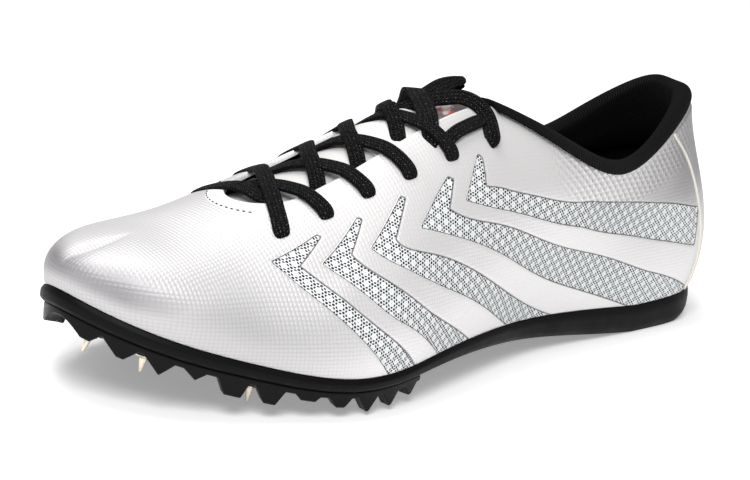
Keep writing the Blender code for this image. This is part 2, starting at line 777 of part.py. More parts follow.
def laces():
    """A bar over the lowest eyelets and a joined crossing for each pair above it."""
    black = material("black_lace", (0.014, 0.014, 0.015), 0.8)
    stations = EYELETS["station"]
    bar = Shape()
    bar_station = stations[0] + BAR_SHIFT / SOLE_LENGTH
    bar.loft(ribbon((bar_station, -LACE_REACH), (bar_station, LACE_REACH), 9))
    bar.solid("lace_bar", black)
    for k in range(len(stations) - 1):
        trim = FIRST_LEG if k == 0 else LATER_LEG
        share = (THROAT_EDGE - trim) / (THROAT_EDGE + LACE_REACH)
        begin = stations[k] + (stations[k + 1] - stations[k]) * share
        bands = []
        for side in (LATERAL, MEDIAL):
            shape = Shape()
            shape.loft(ribbon((begin, -side * trim), (stations[k + 1], side * LACE_REACH), 7))
            bands.append(shape)
        crossing = bands[0].solid("lace_cross_%d" % (k + 1), black)
        cut(crossing, bands[1].solid("lace_cross_%d_other" % (k + 1)), "UNION")
        settle(crossing)


def plate_line(side, place):
    """A point of the plate's top edge, under the sole's underside."""
    base = foot(side, place) - outward(side, place) * PLATE_INSET
    return Vector((base.x, base.y, underside(place) - CLEARANCE))


def plate_height(x):
    """Height of the plate's underside at a distance from the heel."""
    return underside(place_of(x / SOLE_LENGTH)) - CLEARANCE - PLATE_THICKNESS


def teeth():
    """Wedge-shaped teeth under the plate's edge, joined to the plate."""
    shape = Shape()
    for side in (LATERAL, MEDIAL):
        for station, height, base, flat in zip(*TEETH.values()):
            place = place_of(station)
            out = outward(side, place)
            run = Vector((-out.y, out.x, 0)) * side
            half = run * base * TOOTH_HEIGHT / 2
            point = run * flat * TOOTH_HEIGHT / 2
            depth = PLATE_THICKNESS + height * TOOTH_HEIGHT
            rings = []
            for inward in (PLATE_INSET / TOOTH_DEPTH, 1):
                spot = plate_line(side, place) - out * TOOTH_DEPTH * inward
                ring = []
                for shift, fall in ((half, 0), (-half, 0), (-point, depth), (point, depth)):
                    corner = spot + shift
                    root = plate_height(corner.x) + PLATE_THICKNESS / 2
                    corner.z = root if fall == 0 else plate_height(spot.x) + PLATE_THICKNESS - fall
                    ring.append(corner)
                rings.append(ring)
            shape.loft(rings)
    return shape.solid("teeth_form")


def spike_seat(station, sideways, lean):
    """Where a spike's flange seats, and the direction that it points in."""
    x = station * SOLE_LENGTH
    angle = math.radians(lean)
    axis = Vector((math.sin(angle), 0, -math.cos(angle)))
    seat = SPIKE_LENGTH if lean == 0 else plate_height(x) - BOSS_HEIGHT
    return Vector((x, sideways * BALL_WIDTH, seat)), axis


def spikes():
    return list(zip(*SPIKES.values()))


def bosses():
    """Round seats for the spikes, joined to the plate's underside."""
    shape = Shape()
    for station, sideways, lean in spikes():
        seat, axis = spike_seat(station, sideways, lean)
        shape.loft(turned([(BOSS_RADIUS, -PLATE_THICKNESS), (BOSS_RADIUS, -CLEARANCE)], seat, axis, 10))
    return shape.solid("boss_form")


def sockets():
    """Holes in the bosses for the spikes' studs."""
    shape = Shape()
    for station, sideways, lean in spikes():
        seat, axis = spike_seat(station, sideways, lean)
        radius = SPIKE_STUD + CLEARANCE
        shape.loft(turned([(radius, -SPIKE_STUD_LENGTH - CLEARANCE), (radius, WALL)], seat, axis, 10))
    return shape.solid("socket_cutter")


def spike_plate():
    """The stiff forefoot plate with its teeth and the seats of the spikes."""
    first = int(place_of(PLATE_REAR) * STATIONS)
    rings = []
    for i in range(first, STATIONS + 1):
        place = i / STATIONS
        ring = []
        for side in (LATERAL, MEDIAL):
            top = plate_line(side, place)
            low = top - Vector((0, 0, PLATE_THICKNESS))
            ring += [top, low] if side == LATERAL else [low, top]
        rings.append(ring)
    shape = Shape()
    shape.loft(rings)
    body = shape.solid("spike_plate", material("black_plastic", (0.02, 0.02, 0.021), 0.42))
    cut(body, teeth(), "UNION")
    cut(body, bosses(), "UNION")
    cut(body, sockets())
    settle(body)


def spike_pins():
    """Steel pins: a stud in the plate, a flange and a tapered point."""
    steel = material("steel", (0.72, 0.66, 0.52), 0.28, 1.0)
    profile = ((SPIKE_STUD, -SPIKE_STUD_LENGTH), (SPIKE_STUD, 0), (SPIKE_FLANGE, 0),
               (SPIKE_FLANGE, SPIKE_FLANGE_THICKNESS),
               (SPIKE_STUD, SPIKE_FLANGE_THICKNESS + SPIKE_SHOULDER), (SPIKE_TIP, SPIKE_LENGTH))
    for k, row in enumerate(spikes()):
        seat, axis = spike_seat(*row)
        shape = Shape()
        shape.loft(turned(profile, seat, axis, 8))
        shape.solid("spike_%d" % (k + 1), steel)


for old in list(bpy.data.objects):
    bpy.data.objects.remove(old, do_unlink=True)
sole()
upper()
insole()
tongue()
lining()
spike_plate()
spike_pins()
laces()
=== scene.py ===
"""The looks of a left track spike shoe, built round its model.

Metres. X runs to the toe, Y to the lateral (outer) side and Z up, as in the model.
"""
import math

import bmesh
import bpy
import numpy as np
from mathutils import Matrix, Vector
from mathutils.kdtree import KDTree


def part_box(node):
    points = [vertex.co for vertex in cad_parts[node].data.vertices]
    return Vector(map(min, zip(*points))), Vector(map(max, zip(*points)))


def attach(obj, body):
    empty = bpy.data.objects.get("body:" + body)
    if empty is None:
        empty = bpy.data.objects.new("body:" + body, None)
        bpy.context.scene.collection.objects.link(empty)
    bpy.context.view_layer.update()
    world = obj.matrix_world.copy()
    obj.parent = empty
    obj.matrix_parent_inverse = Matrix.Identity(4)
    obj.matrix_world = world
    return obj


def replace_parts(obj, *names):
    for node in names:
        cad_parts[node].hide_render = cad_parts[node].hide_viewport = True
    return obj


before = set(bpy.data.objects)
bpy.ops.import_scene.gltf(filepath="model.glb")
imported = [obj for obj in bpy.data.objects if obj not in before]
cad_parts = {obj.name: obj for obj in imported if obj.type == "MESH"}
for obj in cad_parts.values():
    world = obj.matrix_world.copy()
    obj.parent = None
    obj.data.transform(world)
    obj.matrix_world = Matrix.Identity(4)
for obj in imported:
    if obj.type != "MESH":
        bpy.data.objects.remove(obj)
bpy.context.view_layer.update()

# Sizes shared with the model
SOLE_LENGTH = 0.280
BALL_WIDTH = 0.092
INSTEP_HEIGHT = 0.090
TOE_RISE = 0.029
BAND_HEIGHT = 0.011
WALL = 0.0018
CLEARANCE = 0.0003
BAND_PROUD = 0.0011
TONGUE_THICKNESS = 0.0022
HEEL_STRIP_STEP = 0.0006
ROLL_HEIGHT = 0.0032
HEEL_PAD = 0.0050
FRONT_PAD = 0.0026
THROAT_HALF_WIDTH = 0.0137
THROAT_ROUND = 0.018
EYELET_RADIUS = 0.0019
PLATE_THICKNESS = 0.0020
PLATE_INSET = 0.0005
TOOTH_HEIGHT = 0.0050
TOOTH_DEPTH = 0.0048
SPIKE_LENGTH = 0.006
BALL_STACK = 0.0088
BOSS_HEIGHT = 0.0012
MODEL_STATIONS = 30
MODEL_ROWS = 8

# Sizes of what is added here
MM = 0.001
WINDOW_STEP = 0.45 * MM
WINDOW_EDGE = 0.7 * MM
LACE_WIDTH = 5.5 * MM
LACE_THICKNESS = 1.6 * MM
PATCH_WIDTH = 6.2 * MM
LIP_REACH = 1.2 * MM
LIP_FALL = 3.0 * MM
INSOLE_THICKNESS = 3.0 * MM
PLATE_EDGE = 0.4 * MM
SKIRT_REACH = 12 * MM
PANEL_INSET = 11 * MM
PIPING_RADIUS = 0.55 * MM
PIPING_LIFT = 0.45 * MM
STITCH_PITCH = 2.1 * MM
STITCH_LENGTH = 1.3 * MM
STITCH_RADIUS = 0.28 * MM
STITCH_LEVEL = 35 * MM
KEEPER_LIFT = 0.9 * MM
KEEPER_HALF = 0.45 * MM
KEEPER_BOW = 0.010
PRINT_FRONT = 0.512 * SOLE_LENGTH
BINDING_FRONT = 0.4225 * SOLE_LENGTH

# Divisions of film and collar, the height from which the film's rows follow its edge, how close points are
# joined, and the furthest distance kept in millimetres
COLUMNS = 400
ROWS = 96
ROW_BEND = 0.55
ROLL_STEPS = 5
JOIN = 1e-6
FAR = 6.0

CAMERA_ANGLES = (132.950, 17.038, 8.025)
CAMERA_TARGET = (0.0103, -0.0055, 0.0368)
CAMERA_DISTANCE = 0.941
CAMERA_LENS = 133.6

LATERAL = 1
MEDIAL = -1
NAMES = {LATERAL: "lateral", MEDIAL: "medial"}
SMALL_STEP = 1e-3
SLOPE_STEP = 0.02
RIDGE_STATION = 0.58
SLOPE_FROM = 0.49
LINING_FRONT = 0.437
THROAT_REAR = 0.420
THROAT_FRONT = 0.780
OUTWARD_SHARE = 0.25
PLATE_REAR = 0.615


def table(columns, *rows):
    """Rows of numbers as one list for each named column."""
    return {name: [row[i] for row in rows] for i, name in enumerate(columns.split())}


# Plan of the sole: stations are shares of SOLE_LENGTH from the heel, widths are shares of BALL_WIDTH.
OUTLINE = table(
    "station lateral medial",
    (0.000, 0.000, 0.000),
    (0.050, 0.290, -0.262),
    (0.130, 0.323, -0.315),
    (0.250, 0.323, -0.290),
    (0.380, 0.337, -0.235),
    (0.480, 0.398, -0.235),
    (0.580, 0.469, -0.330),
    (0.660, 0.515, -0.440),
    (0.740, 0.497, -0.500),
    (0.830, 0.380, -0.495),
    (0.910, 0.255, -0.425),
    (0.965, 0.100, -0.320),
    (1.000, -0.119, -0.119),
)
# Side of the sole: shares of TOE_RISE, of what stands under the ball, and of BAND_HEIGHT.
SIDE = table(
    "station toe ball band",
    (0.00, 0.138, 0.00, 0.86),
    (0.05, 0.020, 0.00, 1.00),
    (0.12, -0.020, 0.00, 0.95),
    (0.25, 0.014, 0.25, 0.86),
    (0.38, 0.052, 0.60, 0.66),
    (0.48, 0.046, 0.90, 0.54),
    (0.60, 0.032, 1.00, 0.43),
    (0.72, 0.002, 1.00, 0.40),
    (0.85, 0.290, 0.70, 0.43),
    (0.95, 0.685, 0.30, 0.49),
    (1.00, 1.000, 0.00, 0.54),
)
# Sections of the upper, as in the model: top a share of SOLE_LENGTH, y of BALL_WIDTH, z and pulls of
# INSTEP_HEIGHT, leans and drops in degrees.
SECTIONS = table(
    "station top lateral_y medial_y lateral_z medial_z lateral_lean medial_lean"
    " foot_pull lateral_pull medial_pull lateral_drop medial_drop",
    (0.000, 0.028, 0.033, 0.033, 0.899, 0.899, 20, 20, 0.333, 0.222, 0.222, 88, 88),
    (0.050, 0.048, 0.155, -0.130, 0.884, 0.872, 17, 17, 0.311, 0.222, 0.222, 85, 85),
    (0.130, 0.108, 0.238, -0.255, 0.798, 0.738, 14, 16, 0.244, 0.156, 0.156, 80, 80),
    (0.250, 0.233, 0.315, -0.293, 0.694, 0.650, 12, 18, 0.222, 0.133, 0.133, 75, 75),
    (0.380, 0.381, 0.283, -0.261, 0.880, 0.836, 12, 22, 0.311, 0.278, 0.222, 55, 60),
    (0.480, 0.484, 0.087, -0.087, 1.000, 0.973, 12, 22, 0.356, 0.333, 0.244, 25, 45),
    (0.580, 0.580, 0.000, 0.000, 0.923, 0.923, 12, 16, 0.311, 0.333, 0.267, 6, 14),
    (0.660, 0.655, -0.011, -0.011, 0.816, 0.816, 12, 12, 0.267, 0.333, 0.289, 3, 5),
    (0.740, 0.729, -0.033, -0.033, 0.719, 0.719, 12, 10, 0.222, 0.333, 0.322, 0, 0),
    (0.830, 0.806, -0.065, -0.065, 0.634, 0.634, 12, 10, 0.194, 0.303, 0.303, 0, 0),
    (0.910, 0.861, -0.098, -0.098, 0.583, 0.583, 14, 12, 0.206, 0.326, 0.326, 0, 0),
    (0.965, 0.893, -0.103, -0.103, 0.568, 0.568, 14, 14, 0.163, 0.280, 0.280, 0, 0),
    (1.000, 0.908, -0.109, -0.109, 0.562, 0.562, 14, 14, 0.160, 0.253, 0.253, 0, 0),
)
# Tongue: along a share of SOLE_LENGTH, top and drop of INSTEP_HEIGHT, widths of BALL_WIDTH.
TONGUE = table(
    "along top lateral_width medial_width lateral_drop medial_drop",
    (0.415, 0.950, 0.050, 0.045, 0.012, 0.012),
    (0.425, 0.964, 0.090, 0.078, 0.030, 0.030),
    (0.445, 0.976, 0.118, 0.098, 0.043, 0.042),
    (0.470, 0.975, 0.160, 0.140, 0.070, 0.085),
    (0.500, 0.956, 0.180, 0.142, 0.075, 0.110),
    (0.540, 0.928, 0.190, 0.146, 0.078, 0.110),
    (0.580, 0.886, 0.195, 0.160, 0.078, 0.105),
    (0.620, 0.830, 0.195, 0.165, 0.075, 0.085),
    (0.660, 0.775, 0.195, 0.175, 0.070, 0.075),
    (0.700, 0.719, 0.185, 0.205, 0.062, 0.062),
    (0.740, 0.670, 0.160, 0.210, 0.052, 0.054),
    (0.768, 0.639, 0.140, 0.190, 0.044, 0.046),
)
# Mesh windows: each row joins the front edge to the rear edge, as station and height; the last is under
# the foot.
WINDOWS = (
    ((0.741, 0.665, 0.737, 0.652), (0.803, 0.600, 0.774, 0.556), (0.787, 0.500, 0.757, 0.470),
     (0.765, 0.390, 0.729, 0.343), (0.741, 0.280, 0.697, 0.220), (0.712, 0.150, 0.662, 0.105),
     (0.680, 0.000, 0.633, 0.000), (0.672, -0.040, 0.625, -0.040)),
    ((0.688, 0.665, 0.684, 0.650), (0.748, 0.544, 0.713, 0.545), (0.730, 0.463, 0.701, 0.475),
     (0.706, 0.360, 0.668, 0.360), (0.679, 0.258, 0.633, 0.250), (0.643, 0.165, 0.588, 0.140),
     (0.584, 0.000, 0.515, 0.000), (0.570, -0.040, 0.500, -0.040)),
    ((0.628, 0.652, 0.623, 0.636), (0.688, 0.537, 0.655, 0.525), (0.672, 0.470, 0.640, 0.465),
     (0.636, 0.369, 0.590, 0.375), (0.590, 0.269, 0.530, 0.270), (0.516, 0.144, 0.452, 0.150),
     (0.426, 0.000, 0.330, 0.000), (0.402, -0.040, 0.305, -0.040)),
    ((0.555, 0.632, 0.548, 0.616), (0.617, 0.513, 0.567, 0.519), (0.570, 0.430, 0.540, 0.465),
     (0.500, 0.335, 0.489, 0.425), (0.421, 0.252, 0.398, 0.404), (0.323, 0.170, 0.286, 0.380),
     (0.244, 0.090, 0.193, 0.263), (0.178, 0.000, 0.112, 0.132), (0.150, -0.040, 0.050, 0.004)),
    ((0.498, 0.705, 0.493, 0.690), (0.538, 0.528, 0.501, 0.569), (0.490, 0.487, 0.470, 0.572),
     (0.423, 0.497, 0.429, 0.594), (0.340, 0.546, 0.346, 0.690), (0.300, 0.545, 0.300, 0.742),
     (0.237, 0.497, 0.240, 0.728), (0.158, 0.387, 0.165, 0.604), (0.065, 0.246, 0.057, 0.428)),
)
# Pairs of eyelets from the front: station, and height as a share of the way up a section.
EYELETS = table(
    "station height",
    (0.776, 0.718),
    (0.719, 0.728),
    (0.662, 0.728),
    (0.604, 0.704),
    (0.538, 0.704),
    (0.468, 0.790),
)
# Teeth of the plate: station share of SOLE_LENGTH; height, base and flat tip as shares of TOOTH_HEIGHT.
TEETH = table(
    "station height base flat",
    (0.632, 0.70, 1.30, 0.15),
    (0.668, 0.95, 1.50, 0.05),
    (0.704, 1.00, 1.60, 0.10),
    (0.742, 0.60, 1.60, 0.60),
    (0.781, 0.35, 1.60, 0.90),
    (0.822, 1.00, 1.80, 0.70),
    (0.862, 1.00, 1.90, 1.00),
    (0.902, 0.55, 1.30, 0.05),
    (0.935, 0.95, 1.50, 0.05),
    (0.966, 0.85, 1.50, 0.30),
    (0.990, 0.70, 1.10, 0.30),
)
SPIKES = table(
    "station sideways lean",
    (0.672, 0.400, 0),
    (0.690, -0.330, 0),
    (0.820, 0.280, 6),
    (0.800, -0.400, 6),
    (0.918, 0.060, 12),
    (0.895, -0.335, 12),
    (0.958, -0.090, 22),
)
ROLL = table(
    "inward rise",
    (0.00, 0.30),
    (0.10, 0.80),
    (0.45, 1.05),
    (0.85, 0.75),
    (1.00, 0.10),
)
HEEL_STRIP = table(
    "height half_width",
    (0.02, 0.370),
    (0.20, 0.355),
    (0.45, 0.320),
    (0.70, 0.285),
    (0.96, 0.335),
)


def place_of(station):
    """Place along the outline, 0 at the heel and 1 at the toe, which turns evenly round both ends."""
    return np.arccos(1 - 2 * np.clip(station, 0, 1)) / math.pi


def station_of(place):
    return (1 - np.cos(math.pi * np.asarray(place, float))) / 2


def natural(knots, values):
    """A natural cubic spline through the values, as a function of an array."""
    knots = np.array(knots, float)
    values = np.array(values, float)
    count = len(knots)
    gaps = np.diff(knots)
    steps = np.diff(values) / gaps
    matrix = np.eye(count)
    right = np.zeros(count)
    for i in range(1, count - 1):
        matrix[i, i - 1:i + 2] = gaps[i - 1], 2 * (gaps[i - 1] + gaps[i]), gaps[i]
        right[i] = 6 * (steps[i] - steps[i - 1])
    bends = np.linalg.solve(matrix, right)

    def value(at):
        at = np.asarray(at, float)
        i = np.clip(np.searchsorted(knots, at, side="right") - 1, 0, count - 2)
        ahead = (at - knots[i]) / gaps[i]
        back = 1 - ahead
        curve = (back ** 3 - back) * bends[i] + (ahead ** 3 - ahead) * bends[i + 1]
        return back * values[i] + ahead * values[i + 1] + curve * gaps[i] ** 2 / 6

    return value


def even(knots, values):
    """A spline that runs level over both ends, as if mirrored there."""
    before = [-knot for knot in knots[2:0:-1]]
    after = [2 - knot for knot in knots[-2:-4:-1]]
    return natural(before + knots + after, values[2:0:-1] + values + values[-2:-4:-1])


def place_splines(rows):
    knots = [float(place_of(share)) for share in rows["station"]]
    crossing = ("lateral", "medial", "lateral_y", "medial_y")
    return {name: (natural if name in crossing else even)(knots, values)
            for name, values in rows.items() if name != "station"}


def splines(rows, key):
    return {name: natural(rows[key], values) for name, values in rows.items() if name != key}


outline_at = place_splines(OUTLINE)
side_at = place_splines(SIDE)
section_at = place_splines(SECTIONS)
tongue_at = splines(TONGUE, "along")
strip_at = splines(HEEL_STRIP, "height")
RIDGE_PLACE = float(place_of(RIDGE_STATION))


def unit(vectors):
    return vectors / np.maximum(np.linalg.norm(vectors, axis=-1, keepdims=True), 1e-12)


def lengths(line):
    """Distances run along a line of points."""
    return np.concatenate([[0], np.cumsum(np.linalg.norm(np.diff(line, axis=0), axis=1))])


def ring_angles(sides):
    return np.arange(sides) * 2 * math.pi / sides


def underside(place):
    """Height of the sole's underside, flat where it meets the ground."""
    return np.maximum(side_at["toe"](place) * TOE_RISE + side_at["ball"](place) * BALL_STACK, 0.0)


def bed(place):
    return underside(place) + side_at["band"](place) * BAND_HEIGHT


def foot(side, place):
    """Points where the upper meets the sole's edge."""
    place = np.asarray(place, float)
    sideways = outline_at[NAMES[side]](place) * BALL_WIDTH
    return np.stack([station_of(place) * SOLE_LENGTH, sideways, bed(place)], -1)


def outward(side, place):
    """Level directions straight out of the outline."""
    place = np.asarray(place, float)
    run = foot(side, place + SMALL_STEP) - foot(side, place - SMALL_STEP)
    out = unit(np.stack([-run[..., 1] * side, run[..., 0] * side, 0 * place], -1))
    out[place <= 0] = (-1, 0, 0)
    out[place >= 1] = (1, 0, 0)
    return out


def top_line(side, place):
    """Points of the collar line, or of the ridge where both sides meet."""
    place = np.asarray(place, float)
    own = NAMES[side]
    ridge = place >= RIDGE_PLACE

    def column(kind):
        both = (section_at["lateral" + kind](place) + section_at["medial" + kind](place)) / 2
        return np.where(ridge, both, section_at[own + kind](place))

    return np.stack([section_at["top"](place) * SOLE_LENGTH, column("_y") * BALL_WIDTH,
                     column("_z") * INSTEP_HEIGHT], -1)


def section(side, place):
    """The four points that steer each section of the upper, from its foot to its top line."""
    name = NAMES[side]
    low = foot(side, place)
    high = top_line(side, place)
    out = outward(side, place)
    lean = np.radians(section_at[name + "_lean"](place))[..., None]
    rise = out * np.sin(lean) + np.array([0, 0, 1]) * np.cos(lean)
    drop = np.radians(section_at[name + "_drop"](place))
    run = top_line(side, np.minimum(place + SLOPE_STEP, 1))
    run = run - top_line(side, np.maximum(place - SLOPE_STEP, 0))
    slope = run[..., 2] / np.where(np.abs(run[..., 0]) > 1e-9, run[..., 0], 1)
    slope *= np.clip((station_of(place) - SLOPE_FROM) / (RIDGE_STATION - SLOPE_FROM), 0, 1)
    level = (low - high) * np.array([1, 1, 0]) + out * BALL_WIDTH * OUTWARD_SHARE
    level = unit(level)
    fall = level * np.cos(drop)[..., None]
    fall[..., 2] = level[..., 0] * slope * np.cos(drop) - np.sin(drop)
    foot_pull = section_at["foot_pull"](place)[..., None] * INSTEP_HEIGHT
    top_pull = section_at[name + "_pull"](place)[..., None] * INSTEP_HEIGHT
    return low, low + rise * foot_pull, high + fall * top_pull, high


def on_section(side, place, height):
    """Points of the skin; place and height are arrays of one shape."""
    place = np.asarray(place, float)
    height = np.asarray(height, float)
    a, b, c, d = section(side, np.clip(place, 0, 1))
    h = height[..., None]
    r = 1 - h
    return a * r ** 3 + b * 3 * r * r * h + c * 3 * r * h * h + d * h ** 3


def normals(side, place, height):
    """Directions straight out of the skin."""
    place = np.clip(place, 2 * SMALL_STEP, 1 - 2 * SMALL_STEP)
    height = np.clip(height, -0.05, 1 - SLOPE_STEP)
    along = on_section(side, place + SMALL_STEP, height) - on_section(side, place - SMALL_STEP, height)
    up = on_section(side, place, height + SMALL_STEP) - on_section(side, place, height - SMALL_STEP)
    return unit(np.cross(up, along) * side)


def skin(side, place, height, lift=0.0):
    """Points of the skin, or lifted out of it."""
    place, height, lift = np.broadcast_arrays(np.asarray(place, float), height, lift)
    return on_section(side, place, height) + normals(side, place, height) * lift[..., None]


def find_centre():
    """The model's origin in the shoe's own frame, read from the model's sole."""
    places = np.arange(MODEL_STATIONS + 1) / MODEL_STATIONS
    edge = foot(LATERAL, places) + outward(LATERAL, places) * BAND_PROUD
    low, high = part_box("sole")
    return np.array([-BAND_PROUD - low[0], edge[:, 1].max() - high[1], 0.0])


CENTRE = find_centre()


def ridge_sideways(x):
    """Sideways place of the ridge at distances from the heel."""
    places = np.linspace(RIDGE_PLACE, 1, 200)
    line = top_line(LATERAL, places)
    return np.interp(x, line[:, 0], line[:, 1])


def throat_half_width(x):
    to_end = np.clip(THROAT_FRONT * SOLE_LENGTH - np.asarray(x, float), 0, THROAT_ROUND)
    return THROAT_HALF_WIDTH * np.sqrt(np.maximum(1 - (1 - to_end / THROAT_ROUND) ** 2, 0))


def smooth(value, low, high):
    """0 below low and 1 above high, with a soft step between."""
    t = np.clip((value - low) / (high - low), 0, 1)
    return t * t * (3 - 2 * t)


def make(name, points, faces, material, smooth_faces=True):
    """A mesh piece from points in the shoe's own frame."""
    mesh = bpy.data.meshes.new(name)
    mesh.from_pydata((np.asarray(points) - CENTRE).tolist(), [], [list(face) for face in faces])
    materials = material if isinstance(material, (list, tuple)) else [material]
    for item in materials:
        mesh.materials.append(item)
    if smooth_faces:
        mesh.shade_smooth()
    piece = link(name, mesh)
    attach(piece, "root")
    return piece


def link(name, data):
    """A new object in the scene."""
    made = bpy.data.objects.new(name, data)
    bpy.context.scene.collection.objects.link(made)
    return made


def clean(piece, join=0.0, outward_faces=True):
    """Drops loose points, joins points closer than a distance and turns the faces outwards."""
    work = bmesh.new()
    work.from_mesh(piece.data)
    bmesh.ops.delete(work, geom=[vertex for vertex in work.verts if not vertex.link_faces], context="VERTS")
    if join:
        bmesh.ops.remove_doubles(work, verts=work.verts[:], dist=join)
    if outward_faces:
        bmesh.ops.recalc_face_normals(work, faces=work.faces[:])
    work.to_mesh(piece.data)
    work.free()


def add_attribute(piece, name, values):
    layer = piece.data.attributes.new(name, "FLOAT", "POINT")
    layer.data.foreach_set("value", np.asarray(values, np.float32))


def add_uv(piece, coords):
    """A UV map from one pair of coordinates, in metres, for each vertex."""
    layer = piece.data.uv_layers.new(name="Surface")
    corner = np.empty(len(piece.data.loops), np.int32)
    piece.data.loops.foreach_get("vertex_index", corner)
    layer.data.foreach_set("uv", np.asarray(coords, np.float32)[corner].ravel())


def grid_faces(columns, rows, closed_columns=False, closed_rows=False):
    """Quads over a grid of columns by rows of points."""
    across = columns if closed_columns else columns - 1
    up = rows if closed_rows else rows - 1
    i, k = np.meshgrid(np.arange(across), np.arange(up), indexing="ij")
    ahead = (i + 1) % columns
    above = (k + 1) % rows
    quads = [i * rows + k, ahead * rows + k, ahead * rows + above, i * rows + above]
    return np.stack(quads, -1).reshape(-1, 4)


def ring_faces(count, size, start=0):
    """Quads round a row of rings, with a face over each end."""
    faces = [list(start + face) for face in grid_faces(count, size, closed_rows=True)]
    first = [start + k for k in range(size)]
    last = [start + (count - 1) * size + k for k in range(size)]
    return faces + [first, last[::-1]]


def solid(name, rings, material, sharp=None, smooth_faces=True):
    """A closed piece from a row of rings, with edges sharper than an angle in degrees kept sharp."""
    faces = ring_faces(*rings.shape[:2])
    piece = make(name, rings.reshape(-1, 3), faces, material, smooth_faces)
    clean(piece, JOIN)
    if sharp:
        piece.data.set_sharp_from_angle(angle=math.radians(sharp))
    return piece


class Nodes:
    """A material's nodes, added one call at a time."""

    def __init__(self, name, colour, roughness, metallic=0.0, **sockets):
        self.material = bpy.data.materials.new(name)
        self.material.use_nodes = True
        self.tree = self.material.node_tree
        self.shader = self.tree.nodes["Principled BSDF"]
        self.set("Base Color", (*colour, 1))
        self.set("Roughness", roughness)
        self.set("Metallic", metallic)
        for socket, value in sockets.items():
            self.set(socket.replace("_", " "), value)

    def set(self, socket, value):
        self.join(value, self.shader.inputs[socket])

    def join(self, value, socket):
        if isinstance(value, bpy.types.NodeSocket):
            self.tree.links.new(value, socket)
        elif value is not None:
            socket.default_value = value

    def add(self, kind, inputs=(), output=0, **settings):
        made = self.tree.nodes.new("ShaderNode" + kind)
        for key, value in settings.items():
            setattr(made, key, value)
        for key, value in dict(inputs).items():
            self.join(value, made.inputs[key])
        return made.outputs[output]

    def maths(self, operation, a, b=None, c=None):
        return self.add("Math", {0: a, 1: b, 2: c}, operation=operation)

    def mix(self, share, a, b):
        return self.add("Mix", {0: share, 6: a, 7: b}, 2, data_type="RGBA")

    def blend(self, share, a, b):
        return self.add("Mix", {0: share, 2: a, 3: b}, 0, data_type="FLOAT")

    def read(self, name):
        return self.add("Attribute", output=2, attribute_name=name)

    def uv(self):
        return self.add("UVMap", uv_map="Surface")

    def place(self):
        return self.add("NewGeometry", output=0)

    def split(self, vector):
        made = self.add("SeparateXYZ", {0: vector}).node
        return made.outputs

    def scaled(self, vector, size):
        """The vector in steps of a size, or of one size each way."""
        sizes = size if isinstance(size, tuple) else (size,) * 3
        return self.add("VectorMath", {0: vector, 1: sizes}, operation="DIVIDE")

    def noise(self, vector, size, detail=2.0, rough=0.5):
        return self.add("TexNoise", {"Vector": self.scaled(vector, size), "Scale": 1.0, "Detail": detail,
                                     "Roughness": rough})

    def step(self, value, low, high):
        """0 below low and 1 above high."""
        limits = {0: value, 1: low, 2: high, 3: 0.0, 4: 1.0}
        return self.add("MapRange", limits, interpolation_type="SMOOTHSTEP")

    def spread(self, noise, low, high):
        """Values from low to high by a noise."""
        return self.add("MapRange", {0: noise, 1: 0.3, 2: 0.7, 3: low, 4: high})

    def times(self, *values):
        """The product of the values."""
        product = values[0]
        for value in values[1:]:
            product = self.maths("MULTIPLY", product, value)
        return product

    def leather_grain(self):
        grain = self.add("TexVoronoi", {"Vector": self.scaled(self.place(), 0.7 * MM), "Scale": 1.0})
        return self.bump(grain, 0.05 * MM, 0.6)

    def staggered(self, vector, spacing, turn):
        """Waves three ways that add up to 3 at points spaced in staggered rows, and to less between them."""
        axes = self.split(vector)
        total = None
        for angle in (turn, turn + 60, turn + 120):
            rate = 4 * math.pi / (math.sqrt(3) * spacing)
            along = self.maths("MULTIPLY", axes[0], rate * math.cos(math.radians(angle)))
            phase = self.maths("MULTIPLY_ADD", axes[1], rate * math.sin(math.radians(angle)), along)
            part = self.maths("COSINE", phase)
            total = part if total is None else self.maths("ADD", total, part)
        return total

    def wave(self, value, size):
        """Rounded ridges one size apart along a coordinate."""
        return self.maths("ABSOLUTE", self.maths("SINE", self.times(value, math.pi / size)))

    def slanted(self, along, across, size):
        """Waves that cross, slanting both ways."""
        return self.times(self.wave(self.maths("ADD", along, across), size),
                          self.wave(self.maths("SUBTRACT", along, across), size))

    def bump(self, height, depth, strength=1.0, below=None):
        return self.add("Bump", {"Height": height, "Distance": depth, "Strength": strength, "Normal": below})


def film_weave(nodes, size):
    """A fine raised grid seen on the faces that look along each axis."""
    x, y, z = nodes.split(nodes.place())[:3]
    waves = [nodes.wave(axis, size) for axis in (x, y, z)]
    facing = [nodes.maths("POWER", nodes.maths("ABSOLUTE", axis), 6.0)
              for axis in nodes.split(nodes.add("NewGeometry", output=1))[:3]]
    total = nodes.maths("ADD", nodes.maths("ADD", facing[0], facing[1]), facing[2])
    height = None
    for i in range(3):
        grid = nodes.times(waves[(i + 1) % 3], waves[(i + 2) % 3])
        part = nodes.times(grid, nodes.maths("DIVIDE", facing[i], total))
        height = part if height is None else nodes.maths("ADD", height, part)
    return height


